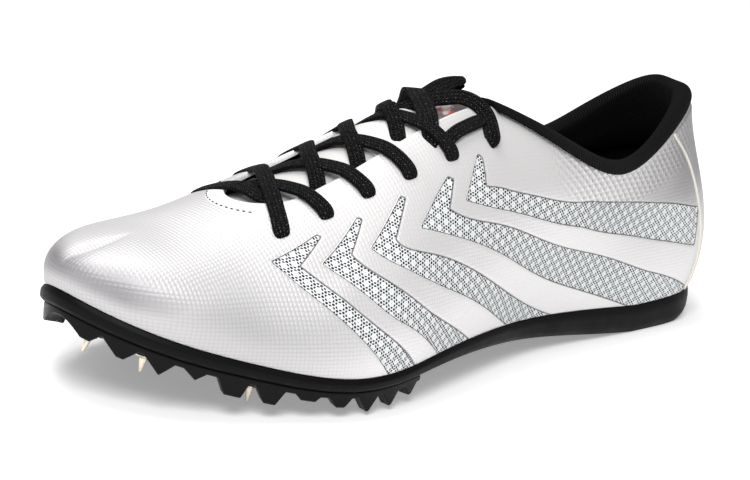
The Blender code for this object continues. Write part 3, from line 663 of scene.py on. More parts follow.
def film_colour(nodes, weave, plain):
    """Silver with painted shade in the grooves of its grid in front, paler behind, and painted shade low on the
    toe and high on the heel.
    """
    fine = nodes.noise(nodes.place(), 0.5 * MM, 3.0)
    broad = nodes.noise(nodes.place(), 22 * MM, 2.0)
    silver = nodes.mix(broad, (0.70, 0.69, 0.69, 1), (0.80, 0.785, 0.78, 1))
    # Painted shade in the grooves of the embossed grid: darker where the weave's height is low
    silver = nodes.mix(nodes.times(nodes.step(weave, 0.5, 0.05), 0.30), silver, (0.45, 0.45, 0.47, 1))
    pale = nodes.mix(fine, (0.77, 0.757, 0.755, 1), (0.87, 0.853, 0.85, 1))
    film = nodes.mix(nodes.times(plain, 0.8), silver, pale)
    # Painted shade: the film darkened low on the toe and front and high on the heel, by the shade trait
    shade = nodes.times(nodes.read("shade"), nodes.blend(broad, 0.6, 1.0))
    return nodes.mix(shade, film, (0.24, 0.23, 0.245, 1))


def mesh_holes(nodes):
    """Round holes in staggered rows with some left out, and smaller near the heel."""
    rearward = nodes.step(nodes.maths("ABSOLUTE", nodes.split(nodes.uv())[0]), 85 * MM, 30 * MM)
    rows = nodes.staggered(nodes.uv(), 1.25 * MM, 12)
    left_out = nodes.step(nodes.staggered(nodes.uv(), 3.75 * MM, 12), 0.0, 0.6)
    rows = nodes.maths("SUBTRACT", rows, nodes.times(left_out, 3.0))
    rows = nodes.maths("SUBTRACT", rows, nodes.times(rearward, 0.35))
    return nodes.step(rows, -0.5, 0.0)


def film_look():
    """Pearly silver film with an embossed grid, mesh windows, a white patch, a heel strip and dimples."""
    nodes = Nodes("silver_film", (0.7, 0.69, 0.69), 0.45, 0.7)
    window = nodes.step(nodes.read("window"), -0.08, 0.08)
    # Painted shadow: a thin dark line along every window's edge, where the film steps down
    line = nodes.step(nodes.maths("ABSOLUTE", nodes.read("window")), 0.26, 0.10)
    patch = nodes.step(nodes.read("patch"), -0.1, 0.1)
    strip = nodes.step(nodes.read("strip"), -0.1, 0.1)
    plain = nodes.read("plain")
    weave = film_weave(nodes, 1.3 * MM)
    film = nodes.mix(patch, film_colour(nodes, weave, plain), (0.86, 0.845, 0.83, 1))
    holes = mesh_holes(nodes)
    threads = nodes.noise(nodes.uv(), 0.35 * MM, 2.0)
    mesh = nodes.mix(threads, (0.70, 0.72, 0.73, 1), (0.88, 0.90, 0.91, 1))
    mesh = nodes.mix(holes, mesh, (0.012, 0.013, 0.014, 1))
    colour = nodes.mix(window, film, mesh)
    # The painted shadow line round the windows darkens the colour here
    nodes.set("Base Color", nodes.mix(nodes.times(line, 0.75), colour, (0.03, 0.03, 0.035, 1)))
    covered = nodes.maths("MAXIMUM", window, nodes.maths("MAXIMUM", patch, strip))
    open_film = nodes.maths("SUBTRACT", 1.0, covered)
    nodes.set("Metallic", nodes.times(open_film, nodes.blend(plain, 0.50, 0.45)))
    nodes.set("Roughness", nodes.blend(window, nodes.blend(plain, 0.54, 0.52), 0.75))
    along, up = nodes.split(nodes.uv())[:2]
    dimples = nodes.times(nodes.slanted(along, up, 3.6 * MM), nodes.read("dimple"))
    grain = nodes.times(weave, open_film, nodes.blend(plain, 1.0, 0.6))
    knit = nodes.maths("SUBTRACT", nodes.times(threads, 0.5), nodes.times(holes, 1.5))
    edge_fall = nodes.times(nodes.step(nodes.read("window"), -0.45, 0.0), -1.0)
    relief = nodes.bump(grain, 0.12 * MM, 0.7)
    relief = nodes.bump(nodes.times(knit, window), 0.3 * MM, 0.8, relief)
    relief = nodes.bump(dimples, 0.7 * MM, 0.8, relief)
    nodes.set("Normal", nodes.bump(edge_fall, 0.3 * MM, 1.0, relief))
    return nodes.material


def cloth_look(name, colour, size, depth, roughness=0.85):
    """A matte black fabric with a fine weave."""
    nodes = Nodes(name, colour, roughness, Specular_IOR_Level=0.08)
    x, y, z = nodes.split(nodes.place())[:3]
    cross = nodes.times(nodes.wave(nodes.maths("ADD", x, z), size),
                        nodes.wave(nodes.maths("SUBTRACT", nodes.maths("ADD", y, z), x), size))
    lint = nodes.noise(nodes.place(), 0.6 * MM, 3.0)
    light = tuple(2.0 * part for part in colour)
    nodes.set("Base Color", nodes.mix(nodes.times(lint, 0.5), (*colour, 1), (*light, 1)))
    nodes.set("Normal", nodes.bump(cross, depth, 0.9))
    return nodes.material


def knit_look():
    """Black knit: ribs across the roll, an open mesh on the rest."""
    nodes = Nodes("black_knit", (0.003, 0.003, 0.003), 0.75, Specular_IOR_Level=0.08, Sheen_Weight=0.01,
                  Sheen_Roughness=0.35)
    along, around = nodes.split(nodes.uv())[:2]
    rib = nodes.wave(along, 1.15 * MM)
    height = nodes.blend(nodes.read("roll"), nodes.slanted(along, around, 1.3 * MM), rib)
    # Painted light and shade: the raised ribs and threads lighter, the hollows between them darker
    raised = nodes.times(nodes.step(height, 0.35, 0.95), 0.75)
    nodes.set("Base Color", nodes.mix(raised, (0.0015, 0.0015, 0.0018, 1), (0.007, 0.007, 0.0075, 1)))
    nodes.set("Normal", nodes.bump(height, 0.35 * MM, 1.0))
    return nodes.material


def lace_look():
    """Black woven lace with a raised herringbone, painted highlights on its raised cords and painted glints on
    the highest.
    """
    nodes = Nodes("black_lace", (0.003, 0.003, 0.0035), 0.6, Specular_IOR_Level=0.08, Sheen_Weight=0.01,
                  Sheen_Roughness=0.35)
    along, around = nodes.split(nodes.uv())[:2]
    slant = nodes.times(nodes.wave(around, 2.6 * MM), 1.3 * MM)
    cords = nodes.wave(nodes.maths("ADD", along, slant), 1.0 * MM)
    rows = nodes.wave(around, 1.3 * MM)
    height = nodes.times(cords, nodes.blend(0.6, 1.0, rows))
    fleck = nodes.noise(nodes.uv(), (0.45 * MM, 0.45 * MM, 1.0), 2.0)
    # Painted glints: light grey flecks only on the highest cords
    painted_glint = nodes.times(nodes.step(fleck, 0.54, 0.68), nodes.step(height, 0.4, 0.9))
    # Painted highlight: the raised cords lighter than the hollows between them
    ridge = nodes.times(nodes.step(height, 0.45, 0.95), 0.5)
    cord = nodes.mix(ridge, (0.0025, 0.0025, 0.003, 1), (0.022, 0.022, 0.023, 1))
    nodes.set("Base Color", nodes.mix(painted_glint, cord, (0.16, 0.16, 0.165, 1)))
    nodes.set("Normal", nodes.bump(height, 0.9 * MM, 1.0))
    return nodes.material


def rubber_look():
    """Matte black rubber, slightly scuffed."""
    nodes = Nodes("black_rubber", (0.003, 0.003, 0.003), 0.45, Specular_IOR_Level=0.1)
    fine = nodes.noise(nodes.place(), 0.35 * MM, 3.0)
    broad = nodes.noise(nodes.place(), 9 * MM, 4.0, 0.6)
    nodes.set("Base Color", nodes.mix(broad, (0.002, 0.002, 0.0022, 1), (0.005, 0.005, 0.0055, 1)))
    nodes.set("Roughness", nodes.spread(broad, 0.42, 0.6))
    nodes.set("Normal", nodes.bump(fine, 0.05 * MM, 0.6))
    return nodes.material


def plastic_look():
    """Satin black moulded plastic of the plate."""
    nodes = Nodes("black_plastic", (0.0025, 0.0025, 0.0025), 0.34, Specular_IOR_Level=0.12)
    fine = nodes.noise(nodes.place(), 0.8 * MM, 3.0)
    nodes.set("Roughness", nodes.spread(fine, 0.3, 0.45))
    nodes.set("Normal", nodes.bump(fine, 0.04 * MM, 0.5))
    return nodes.material


def steel_look():
    """Warm plated steel."""
    nodes = Nodes("steel", (0.72, 0.66, 0.52), 0.28, 1.0)
    wear = nodes.noise(nodes.place(), 1.2 * MM, 3.0)
    nodes.set("Base Color", nodes.mix(wear, (0.62, 0.52, 0.34, 1), (0.80, 0.78, 0.74, 1)))
    nodes.set("Roughness", nodes.spread(wear, 0.2, 0.38))
    nodes.set("Normal", nodes.bump(nodes.noise(nodes.place(), 0.25 * MM), 0.03 * MM, 0.5))
    return nodes.material


def leather_look(name, low, high, roughness=0.45):
    """Smooth synthetic leather or thread, in two close tones."""
    nodes = Nodes(name, low, roughness, Coat_Weight=0.1, Coat_Roughness=0.4)
    broad = nodes.noise(nodes.place(), 7 * MM, 3.0)
    nodes.set("Base Color", nodes.mix(broad, (*low, 1), (*high, 1)))
    nodes.set("Normal", nodes.leather_grain())
    return nodes.material


def print_look():
    """White tongue with a soft marbled band of red, pink and grey near its top, and a black edge there."""
    nodes = Nodes("white_leather", (0.68, 0.67, 0.655), 0.5, Coat_Weight=0.1, Coat_Roughness=0.4)
    x = nodes.split(nodes.place())[0]
    clouds = nodes.noise(nodes.place(), (9 * MM, 3.5 * MM, 6 * MM), 3.0)
    greys = nodes.noise(nodes.place(), (4 * MM, 8 * MM, 6 * MM), 3.0)
    pattern = nodes.mix(nodes.step(clouds, 0.46, 0.56), (0.62, 0.60, 0.59, 1), (0.55, 0.07, 0.07, 1))
    pattern = nodes.mix(nodes.step(greys, 0.52, 0.6), pattern, (0.16, 0.15, 0.15, 1))
    band = nodes.step(x, PRINT_FRONT - CENTRE[0] + 1 * MM, PRINT_FRONT - CENTRE[0])
    edging = nodes.step(x, BINDING_FRONT - CENTRE[0] + 0.3 * MM, BINDING_FRONT - CENTRE[0])
    colour = nodes.mix(band, (0.68, 0.67, 0.655, 1), pattern)
    nodes.set("Base Color", nodes.mix(edging, colour, (0.004, 0.004, 0.004, 1)))
    nodes.set("Normal", nodes.leather_grain())
    return nodes.material


FILM = film_look()
LINING_CLOTH = cloth_look("lining_cloth", (0.004, 0.004, 0.004), 0.9 * MM, 0.15 * MM)
INSOLE_CLOTH = cloth_look("black_cloth", (0.005, 0.005, 0.005), 1.1 * MM, 0.2 * MM)
KNIT = knit_look()
LACE = lace_look()
RUBBER = rubber_look()
PLASTIC = plastic_look()
STEEL = steel_look()
TONGUE_PRINT = print_look()
CREAM = leather_look("cream_piping", (0.70, 0.67, 0.60), (0.78, 0.75, 0.68))
KEEPER = leather_look("white_keeper", (0.72, 0.715, 0.69), (0.80, 0.79, 0.765))
THREAD = leather_look("dark_thread", (0.02, 0.02, 0.02), (0.05, 0.05, 0.05), 0.7)


def even_places(count):
    """Places about evenly far apart along the wall, with more of them at the throat's round front."""
    fine = np.linspace(0, 1, 3000)
    run = sum(lengths(on_section(side, fine, np.full(fine.shape, height)))
              for side in (LATERAL, MEDIAL) for height in (0, 0.5))
    places = np.interp(np.linspace(0, run[-1], count), run, fine)
    front = THROAT_FRONT * SOLE_LENGTH - np.array([0.0, 0.05, 0.2, 0.5, 0.9, 1.4, 2.0]) * MM
    ridge = np.linspace(RIDGE_PLACE, 1, 2000)
    near = np.interp(front, top_line(LATERAL, ridge)[:, 0], ridge)
    return np.unique(np.round(np.concatenate([places, near]), 7))


def throat_top(side, places):
    """The height at which each section meets the throat's edge, or 1."""
    heights = np.linspace(0.5, 1, 400)
    tops = np.ones(len(places))
    for i, place in enumerate(places):
        points = on_section(side, np.full(heights.shape, place), heights)
        x = points[:, 0]
        off = np.abs(points[:, 1] - ridge_sideways(x)) - throat_half_width(x)
        inside = (off < 0) & (x > THROAT_REAR * SOLE_LENGTH) & (x < THROAT_FRONT * SOLE_LENGTH)
        if inside.any() and inside.argmax() > 0:
            k = inside.argmax()
            share = off[k - 1] / (off[k - 1] - off[k])
            tops[i] = heights[k - 1] + (heights[k] - heights[k - 1]) * share
    return tops


def window_outlines():
    """For each window, the stations and heights round its edge: corners stay sharp, long edges are curved."""
    outlines = []
    for rows in WINDOWS:
        rows = np.array(rows)
        turn = np.arange(1, len(rows))
        fine = np.linspace(1, len(rows) - 1, 8 * (len(rows) - 2) + 1)
        sides = []
        for pair in ((0, 1), (2, 3)):
            edge = np.stack([natural(turn, rows[1:, column])(fine) for column in pair], 1)
            corner = rows[0, list(pair)]
            tip = corner + (edge[0] - corner) * np.linspace(0, 1, 13)[:-1, None]
            sides.append(np.vstack([tip, edge]))
        outlines.append(np.vstack([sides[0], sides[1][::-1]]))
    return outlines


def window_distance(side, places, heights, points):
    """Signed distance in millimetres to the nearest window's edge, positive inside."""
    place_room = 0.03
    height_room = 0.1
    result = np.full(len(places), -FAR)
    for outline in window_outlines():
        edge_place = place_of(outline[:, 0])
        edge_height = outline[:, 1]
        edge = on_section(side, edge_place, edge_height)
        near = np.where((places > edge_place.min() - place_room) & (places < edge_place.max() + place_room)
                        & (heights > edge_height.min() - height_room)
                        & (heights < edge_height.max() + height_room))[0]
        runs = np.roll(edge, -1, axis=0) - edge
        best = np.full(len(near), 1.0)
        inside = np.zeros(len(near), bool)
        x = places[near]
        y = heights[near]
        for i in range(len(edge)):
            offset = points[near] - edge[i]
            share = np.clip(offset @ runs[i] / max(runs[i] @ runs[i], 1e-12), 0, 1)
            best = np.minimum(best, np.linalg.norm(offset - share[:, None] * runs[i], axis=1))
            j = (i + 1) % len(edge)
            x0, y0, x1, y1 = edge_place[i], edge_height[i], edge_place[j], edge_height[j]
            crosses = (y0 > y) != (y1 > y)
            with np.errstate(divide="ignore", invalid="ignore"):
                inside ^= crosses & (x < (x1 - x0) * (y - y0) / (y1 - y0) + x0)
        signed = np.where(inside, best, -best) / MM
        result[near] = np.maximum(result[near], np.clip(signed, -FAR, FAR))
    return result


# Soft creases and swells of the film: the side (1 lateral, -1 medial), station and height of the middle,
# length and width in metres, slant in degrees and rise (negative for a trough) in metres.
CREASES = table(
    "side station height length width slant rise",
    (1, 0.700, 0.33, 0.030, 0.0060, -35, -0.0005),
    (1, 0.665, 0.40, 0.026, 0.0050, -35, 0.0004),
    (1, 0.735, 0.52, 0.020, 0.0050, -40, -0.0004),
    (1, 0.800, 0.42, 0.028, 0.0070, -20, -0.0005),
    (1, 0.560, 0.30, 0.034, 0.0070, -25, -0.0005),
    (1, 0.420, 0.80, 0.030, 0.0060, 10, -0.0006),
    (1, 0.365, 0.72, 0.030, 0.0070, 5, 0.0005),
    (1, 0.220, 0.40, 0.030, 0.0080, -5, -0.0005),
    (-1, 0.760, 0.45, 0.028, 0.0060, -25, -0.0005),
    (-1, 0.690, 0.50, 0.026, 0.0060, -30, -0.0005),
    (-1, 0.560, 0.45, 0.034, 0.0080, -20, -0.0006),
    (-1, 0.400, 0.70, 0.030, 0.0060, 8, -0.0005),
    (-1, 0.240, 0.45, 0.034, 0.0080, 0, -0.0005),
)


def crease_lift(side, points):
    """How far the creases lift each point out of the skin."""
    lift = np.zeros(len(points))
    for own, station, height, length, width, slant, rise in zip(*CREASES.values()):
        if own != side:
            continue
        centre = on_section(side, np.array([float(place_of(station))]), np.array([height]))[0]
        turn = math.radians(slant)
        dx = points[:, 0] - centre[0]
        dz = points[:, 2] - centre[2]
        along = dx * math.cos(turn) + dz * math.sin(turn)
        across = -dx * math.sin(turn) + dz * math.cos(turn)
        lift += rise * np.exp(-(along / length) ** 2 * 2 - (across / width) ** 2)
    return lift


def upper_side(side, places):
    """Places, heights, skin points, normals, surface coordinates and top heights of one side's grid."""
    tops = throat_top(side, places)
    rows = np.linspace(0, 1, ROWS + 1)
    place = np.repeat(places[:, None], ROWS + 1, 1)
    bent = ROW_BEND + (rows - ROW_BEND) / (1 - ROW_BEND) * (tops[:, None] - ROW_BEND)
    height = np.where(rows < ROW_BEND, rows, bent)
    points = on_section(side, place, height)
    out = normals(side, place, height)
    rise = np.stack([lengths(column) for column in points])
    run = np.repeat(lengths(points[:, ROWS // 2])[:, None], ROWS + 1, 1)
    return place, height, points, out, np.stack([run * side, rise], -1), tops


def strip_distance(side, height, points):
    """Signed distance in millimetres to the edge of the strip up the heel, positive inside."""
    middle = on_section(side, np.zeros(height.shape), height)
    half = strip_at["half_width"](height) * BALL_WIDTH
    reach = (half - np.linalg.norm(points - middle, axis=-1)) / MM
    ends = np.minimum(height - HEEL_STRIP["height"][0], HEEL_STRIP["height"][-1] - height) * 80
    return np.clip(np.minimum(reach, ends), -FAR, FAR)


def film_traits(side, place, height, points, throat_edge):
    """How far each point lies inside the windows, the throat's patch and the heel strip, in millimetres, and
    the shares of pale film, dimples and painted shade there."""
    shape = place.shape
    station = station_of(place)
    gap = np.min(np.linalg.norm(points[:, :, None] - throat_edge[None, None, ::4], axis=3), axis=2)
    front = smooth(points[..., 0] / SOLE_LENGTH, THROAT_FRONT - 0.040, THROAT_FRONT - 0.020)
    # Shares of painted shade: high on the heel, low at the toe's tip and low along the front
    heel = smooth(-station, -0.30, -0.05) * smooth(height, 0.30, 0.65)
    tip = smooth(station, 0.87, 0.98) * smooth(-height, -0.66, -0.36)
    tip *= 0.35 + 0.65 * smooth(height, 0.04, 0.22)
    low_front = 0.45 * smooth(station, 0.66, 0.86) * smooth(-height, -0.50, -0.15)
    return {
        "window": window_distance(side, place.ravel(), height.ravel(), points.reshape(-1, 3)).reshape(shape),
        "patch": np.clip((PATCH_WIDTH * front - gap) / MM, -FAR, FAR),
        "strip": strip_distance(side, height, points),
        "plain": smooth(0.735 - station, -0.06, 0.06),
        "dimple": (smooth(height, 0.66, 0.76) * smooth(-height, -0.99, -0.93)
                   * smooth(station, 0.04, 0.10) * smooth(-station, -0.40, -0.30)),
        "shade": np.maximum(np.maximum(heel, tip), low_front),
    }


def film_lift(side, height, points, traits):
    """How far the creases, window steps and heel strip lift each point out of the skin."""
    lift = crease_lift(side, points.reshape(-1, 3)).reshape(height.shape)
    half_edge = WINDOW_EDGE / MM / 2
    lift -= WINDOW_STEP * smooth(traits["window"], -half_edge, half_edge)
    lift += HEEL_STRIP_STEP * smooth(traits["strip"], -0.5, 0.5)
    return lift * smooth(height, -0.01, 0.05)


def punch_eyelets(outer, inner, faces, face_side):
    """Rounds the eyelets' rims in both skins and gives the faces that are left."""
    keep = np.ones(len(faces), bool)
    middles = outer[faces].mean(axis=1)
    holes = []
    for side in (LATERAL, MEDIAL):
        for station, level in zip(*EYELETS.values()):
            place = np.array([float(place_of(station))])
            height = np.array([level])
            centre = on_section(side, place, height)[0]
            far = np.linalg.norm(middles - centre, axis=1)
            hit = (far < EYELET_RADIUS) & (face_side == side)
            keep &= ~hit
            rim = np.intersect1d(faces[hit], faces[~hit & (far < 3 * EYELET_RADIUS)])
            holes.append((rim, centre, normals(side, place, height)[0]))
    for rim, centre, axis in holes:
        for cloud in (outer, inner):
            depth = np.outer((cloud[rim] - centre) @ axis, axis)
            cloud[rim] = centre + unit(cloud[rim] - centre - depth) * EYELET_RADIUS + depth
    return faces[keep]


def rim_faces(kept, size, closed_columns):
    """Faces that join both skins round the foot, the collar, the throat and the eyelets."""
    rows = ROWS + 1
    edges = np.vstack([kept[:, [0, 1]], kept[:, [1, 2]], kept[:, [2, 3]], kept[:, [3, 0]]])
    ahead = edges[:, 0] * size + edges[:, 1]
    back = edges[:, 1] * size + edges[:, 0]
    border = edges[~np.isin(ahead, back)]
    on_ridge = (border % rows == rows - 1).all(axis=1) & closed_columns[border // rows].all(axis=1)
    border = border[~on_ridge]
    return np.stack([border[:, 1], border[:, 0], border[:, 0] + size, border[:, 1] + size], -1)


def upper():
    """The hollow upper: fine outer and inner skins with the throat, eyelets, window steps and creases."""
    places = even_places(COLUMNS)
    count = len(places)
    sides = {side: upper_side(side, places) for side in (LATERAL, MEDIAL)}
    open_top = {side: sides[side][5] < 1 for side in sides}
    closed = (places >= RIDGE_PLACE) & ~open_top[LATERAL] & ~open_top[MEDIAL]
    mean = unit(sides[LATERAL][3][:, -1] + sides[MEDIAL][3][:, -1])
    throat_edge = np.vstack([sides[side][2][:, -1][open_top[side]] for side in sides])
    outer = {}
    inner = {}
    traits = {}
    for side, (place, height, points, out, _, _) in sides.items():
        out[closed, -1] = mean[closed]
        traits[side] = film_traits(side, place, height, points, throat_edge)
        lift = film_lift(side, height, points, traits[side])
        outer[side] = points + out * lift[..., None]
        inner[side] = points - out * WALL
        inner[side][:, 0] = foot(side, places) - outward(side, places) * WALL
        outer[side][:, 0, 2] += CLEARANCE
        inner[side][:, 0, 2] += CLEARANCE

    def joined(values, width):
        """Both sides' columns in one row round the shoe."""
        return np.concatenate([values[LATERAL], values[MEDIAL][count - 2:0:-1]]).reshape(-1, width)

    points = joined(outer, 3)
    inside = joined(inner, 3)
    flat = joined({side: sides[side][4] for side in sides}, 2)
    total = 2 * count - 2
    rows = ROWS + 1
    faces = grid_faces(total, rows, closed_columns=True)
    kept = punch_eyelets(points, inside, faces, np.where(faces[:, 0] // rows < count, LATERAL, MEDIAL))
    rims = rim_faces(kept, len(points), np.concatenate([closed, closed[count - 2:0:-1]]))
    shell = make("upper_skin", np.vstack([points, inside]), np.vstack([kept, rims]), FILM)
    for name in traits[LATERAL]:
        values = joined({side: traits[side][name] for side in sides}, 1)
        add_attribute(shell, name, np.tile(values.ravel(), 2))
    add_uv(shell, np.tile(flat, (2, 1)))
    back_face = make("upper_lining", inside, kept[:, ::-1], LINING_CLOTH)
    add_uv(back_face, flat)
    for piece in (shell, back_face):
        clean(piece, 2 * JOIN, outward_faces=False)
    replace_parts(shell, "upper")
    return points


def sole_profile(side, place):
    """The sole's side from its top edge round to its underside, as (reach out, height)."""
    low = underside(place)
    high = bed(place)
    band = high - low
    turns = np.linspace(0, 1, 14)
    reach = BAND_PROUD * np.sin(np.minimum(turns * 2.6, 1) * math.pi / 2)
    reach = reach - (BAND_PROUD + PLATE_INSET) * np.maximum(turns - 0.62, 0) ** 2 / 0.38 ** 2
    return reach, high - band * turns


def sole():
    """The sole band with its rounded side, and its flat underside."""
    places = even_places(360)
    rings = []
    for place in places:
        ring = []
        for side in (LATERAL, MEDIAL):
            base = foot(side, place)
            out = outward(side, place)
            reach, height = sole_profile(side, place)
            half = base + reach[:, None] * out
            half[:, 2] = height
            ring.append(half if side == LATERAL else half[::-1])
        rings.append(np.vstack(ring))
    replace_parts(solid("sole_band", np.array(rings), RUBBER, 35), "sole")


def plate_height(x):
    return underside(place_of(x / SOLE_LENGTH)) - CLEARANCE - PLATE_THICKNESS


def tooth_fall(station):
    """How deep the plate's teeth reach under its underside at each station."""
    fall = np.zeros(len(station))
    for middle, height, base, flat in zip(*TEETH.values()):
        away = np.abs(station - middle) * SOLE_LENGTH
        half = base * TOOTH_HEIGHT / 2
        tip = flat * TOOTH_HEIGHT / 2
        fall = np.maximum(fall, height * TOOTH_HEIGHT * np.clip((half - away) / (half - tip), 0, 1))
    return fall


def spike_plate():
    """The forefoot plate with a toothed skirt round its edge and a flat panel within it."""
    rear = float(place_of(PLATE_REAR))
    places = np.linspace(rear, 1, 420)
    low = underside(places) - CLEARANCE
    under = low - PLATE_THICKNESS
    tips = under - tooth_fall(station_of(places))
    rows = ((PLATE_INSET, low), (PLATE_INSET - PLATE_EDGE * 0.2, low - PLATE_EDGE),
            (PLATE_INSET, tips + PLATE_EDGE), (PLATE_INSET + PLATE_EDGE, tips),
            (TOOTH_DEPTH - PLATE_EDGE, tips), (TOOTH_DEPTH, tips + PLATE_EDGE),
            (TOOTH_DEPTH + PLATE_EDGE, under), (SKIRT_REACH, under), (SKIRT_REACH, low))
    halves = []
    for side in (LATERAL, MEDIAL):
        edge = [foot(side, places) - outward(side, places) * inset for inset, _ in rows]
        for line, (_, height) in zip(edge, rows):
            line[:, 2] = height
        halves.append(np.stack(edge, 1))
    skirt = solid("plate_skirt", np.vstack([halves[0], halves[1][::-1][1:]]), PLASTIC,
                  smooth_faces=False)
    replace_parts(skirt, "spike_plate")
    fine = np.linspace(rear, 0.985, 160)
    lateral, medial = [foot(side, fine) - outward(side, fine) * PANEL_INSET for side in (LATERAL, MEDIAL)]
    top = medial[:, None] + (lateral - medial)[:, None] * np.linspace(0, 1, 9)[None, :, None]
    top[..., 2] = underside(place_of(top[..., 0] / SOLE_LENGTH)) - CLEARANCE - 0.1 * MM
    below = top - np.array([0, 0, PLATE_THICKNESS - 0.2 * MM])
    solid("plate_panel", np.concatenate([top, below[:, ::-1]], 1), PLASTIC, 35)


def lathe(name, profile, base, axis, material, sides=28):
    """A turned piece: radii and distances in millimetres along an axis from a base point."""
    turn = np.array(Vector(axis).to_track_quat("Z", "Y").to_matrix())
    angles = ring_angles(sides)
    rings = []
    for radius, along in profile:
        ring = [radius * np.cos(angles), radius * np.sin(angles), np.full(sides, along)]
        rings.append(base + np.stack(ring, 1) * MM @ turn.T)
    return solid(name, np.array(rings), material, 40)


def spikes():
    """Pins with a ring flange and a fine point, each in a round seat."""
    pin = ((1.4, -1.4), (1.4, 0.0), (2.5, 0.02), (2.7, 0.18), (2.7, 0.68), (2.5, 0.85),
           (1.7, 0.95), (1.3, 1.3), (1.2, 2.1), (0.9, 3.6), (0.5, 5.5), (0.2, 5.95))
    seat = ((5.0, -1.9), (5.0, -0.6), (4.4, -0.12), (3.0, -0.1), (2.8, -0.5))
    for k, (station, sideways, lean) in enumerate(zip(*SPIKES.values())):
        x = station * SOLE_LENGTH
        angle = math.radians(lean)
        axis = (math.sin(angle), 0, -math.cos(angle))
        height = SPIKE_LENGTH if lean == 0 else float(plate_height(x)) - BOSS_HEIGHT
        base = np.array([x, sideways * BALL_WIDTH, height])
        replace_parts(lathe("pin_%d" % (k + 1), pin, base, axis, STEEL), "spike_%d" % (k + 1))
        lathe("pin_seat_%d" % (k + 1), seat, base, axis, PLASTIC)


def closed_curve(points, steps):
    """A smooth closed curve through the points of each ring."""
    before = np.roll(points, 1, axis=1)
    after = np.roll(points, -1, axis=1)
    beyond = np.roll(points, -2, axis=1)
    square = 2 * before - 5 * points + 4 * after - beyond
    cube = 3 * points - before - 3 * after + beyond
    parts = [(2 * points + (after - before) * t + square * t ** 2 + cube * t ** 3) / 2
             for t in np.arange(steps) / steps]
    return np.stack(parts, 2).reshape(len(points), -1, 3)


def lining():
    """The padded collar: a ribbed roll and the knit skirt inside."""
    places = np.linspace(0, float(place_of(LINING_FRONT)), 170)
    station = station_of(places)
    thick = HEEL_PAD + (FRONT_PAD - HEEL_PAD) * np.minimum(station / LINING_FRONT, 1)
    forward = smooth(station, 0.15, 0.40)
    bulge = 1 + 0.5 * smooth(station, 0.20, 0.38)
    face = WALL + CLEARANCE
    low, middle, high = [1 - k / MODEL_ROWS for k in (3, 2, 1)]
    halves = []
    for side in (LATERAL, MEDIAL):
        top = top_line(side, places)
        out = normals(side, places, np.ones(len(places)))
        up = unit(top - on_section(side, places, np.full(len(places), 0.98)))
        ring = [skin(side, places, height, -face) for height in (low, middle, high)]
        ring += [top - out * face + up * CLEARANCE, top + up * CLEARANCE]
        lip = LIP_REACH * forward
        ring.append(top + out * lip[:, None] - up * (LIP_FALL * forward)[:, None])
        for inward, rise in zip(*ROLL.values()):
            reach = inward * (face + thick) - (inward == 0) * (0.3 * MM + lip)
            ring.append(top - out * reach[:, None] + up * (CLEARANCE + rise * ROLL_HEIGHT * bulge)[:, None])
        ring += [skin(side, places, height, -face - share * thick)
                 for height, share in ((high, 1), (middle, 1), (low, 0.5))]
        halves.append(np.stack(ring, 1))
    rings = np.concatenate([halves[1][:0:-1], halves[0]])
    heel = rings[len(places) - 1]
    heel[:, 1] = heel[:, 1].mean()
    points = closed_curve(rings, ROLL_STEPS)
    count, size = points.shape[:2]
    piece = make("collar_pad", points.reshape(-1, 3), ring_faces(count, size), KNIT)
    coords = np.meshgrid(lengths(points[:, 8 * ROLL_STEPS]), lengths(points[count // 2]), indexing="ij")
    add_uv(piece, np.stack(coords, -1).reshape(-1, 2))
    index = np.arange(size) / ROLL_STEPS
    add_attribute(piece, "roll", np.tile(smooth(index, 3.4, 4.0) * smooth(-index, -11.4, -10.2), count))
    clean(piece)
    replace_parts(piece, "collar_lining")


def tongue_point(along, share, lift):
    """A point on the tongue: along the shoe, across it from -1 to 1, and lifted."""
    middle = ridge_sideways(np.maximum(along * SOLE_LENGTH, top_line(LATERAL, RIDGE_PLACE)[0]))

    def column(kind):
        return np.where(share >= 0, tongue_at["lateral" + kind](along), tongue_at["medial" + kind](along))

    height = (tongue_at["top"](along) - column("_drop") * share ** 2) * INSTEP_HEIGHT + lift
    return np.stack([along * SOLE_LENGTH, middle + share * column("_width") * BALL_WIDTH, height], -1)


def tongue():
    """The tongue with rounded edges and a rounded top."""
    first = TONGUE["along"][0]
    along = first + (TONGUE["along"][-1] - first) * np.linspace(0, 1, 110) ** 1.2
    turns = np.linspace(0, 2 * math.pi, 64, endpoint=False)
    edge = np.sign(np.sin(turns)) * np.sqrt(np.abs(np.sin(turns)))
    lift = -TONGUE_THICKNESS * (1 - edge) / 2
    points = tongue_point(*np.meshgrid(along, np.cos(turns), indexing="ij"), lift)
    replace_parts(solid("tongue_pad", points, TONGUE_PRINT), "tongue")


def between(stops, steps=10):
    """Each column of the stops, curved smoothly from stop to stop."""
    stops = np.array(stops)
    run = np.arange(len(stops))
    fine = np.linspace(0, run[-1], steps * run[-1] + 1)
    return [natural(run, column)(fine) for column in stops.T]


def lace_route(stops):
    """Points, directions out and widths along a lace, from stops of station, way across, lift and width."""
    station, across, lift, width = between(stops)
    points = np.empty((len(station), 3))
    outs = np.empty((len(station), 3))
    for side in (LATERAL, MEDIAL):
        own = (across >= 0) == (side == LATERAL)
        place = place_of(station[own])
        height = 1 - np.abs(across[own])
        outs[own] = normals(side, place, height)
        points[own] = on_section(side, place, height)
    for _ in range(12):
        outs[1:-1] = (outs[:-2] + 2 * outs[1:-1] + outs[2:]) / 4
    outs = unit(outs)
    return points + outs * lift[:, None] * MM, outs, width


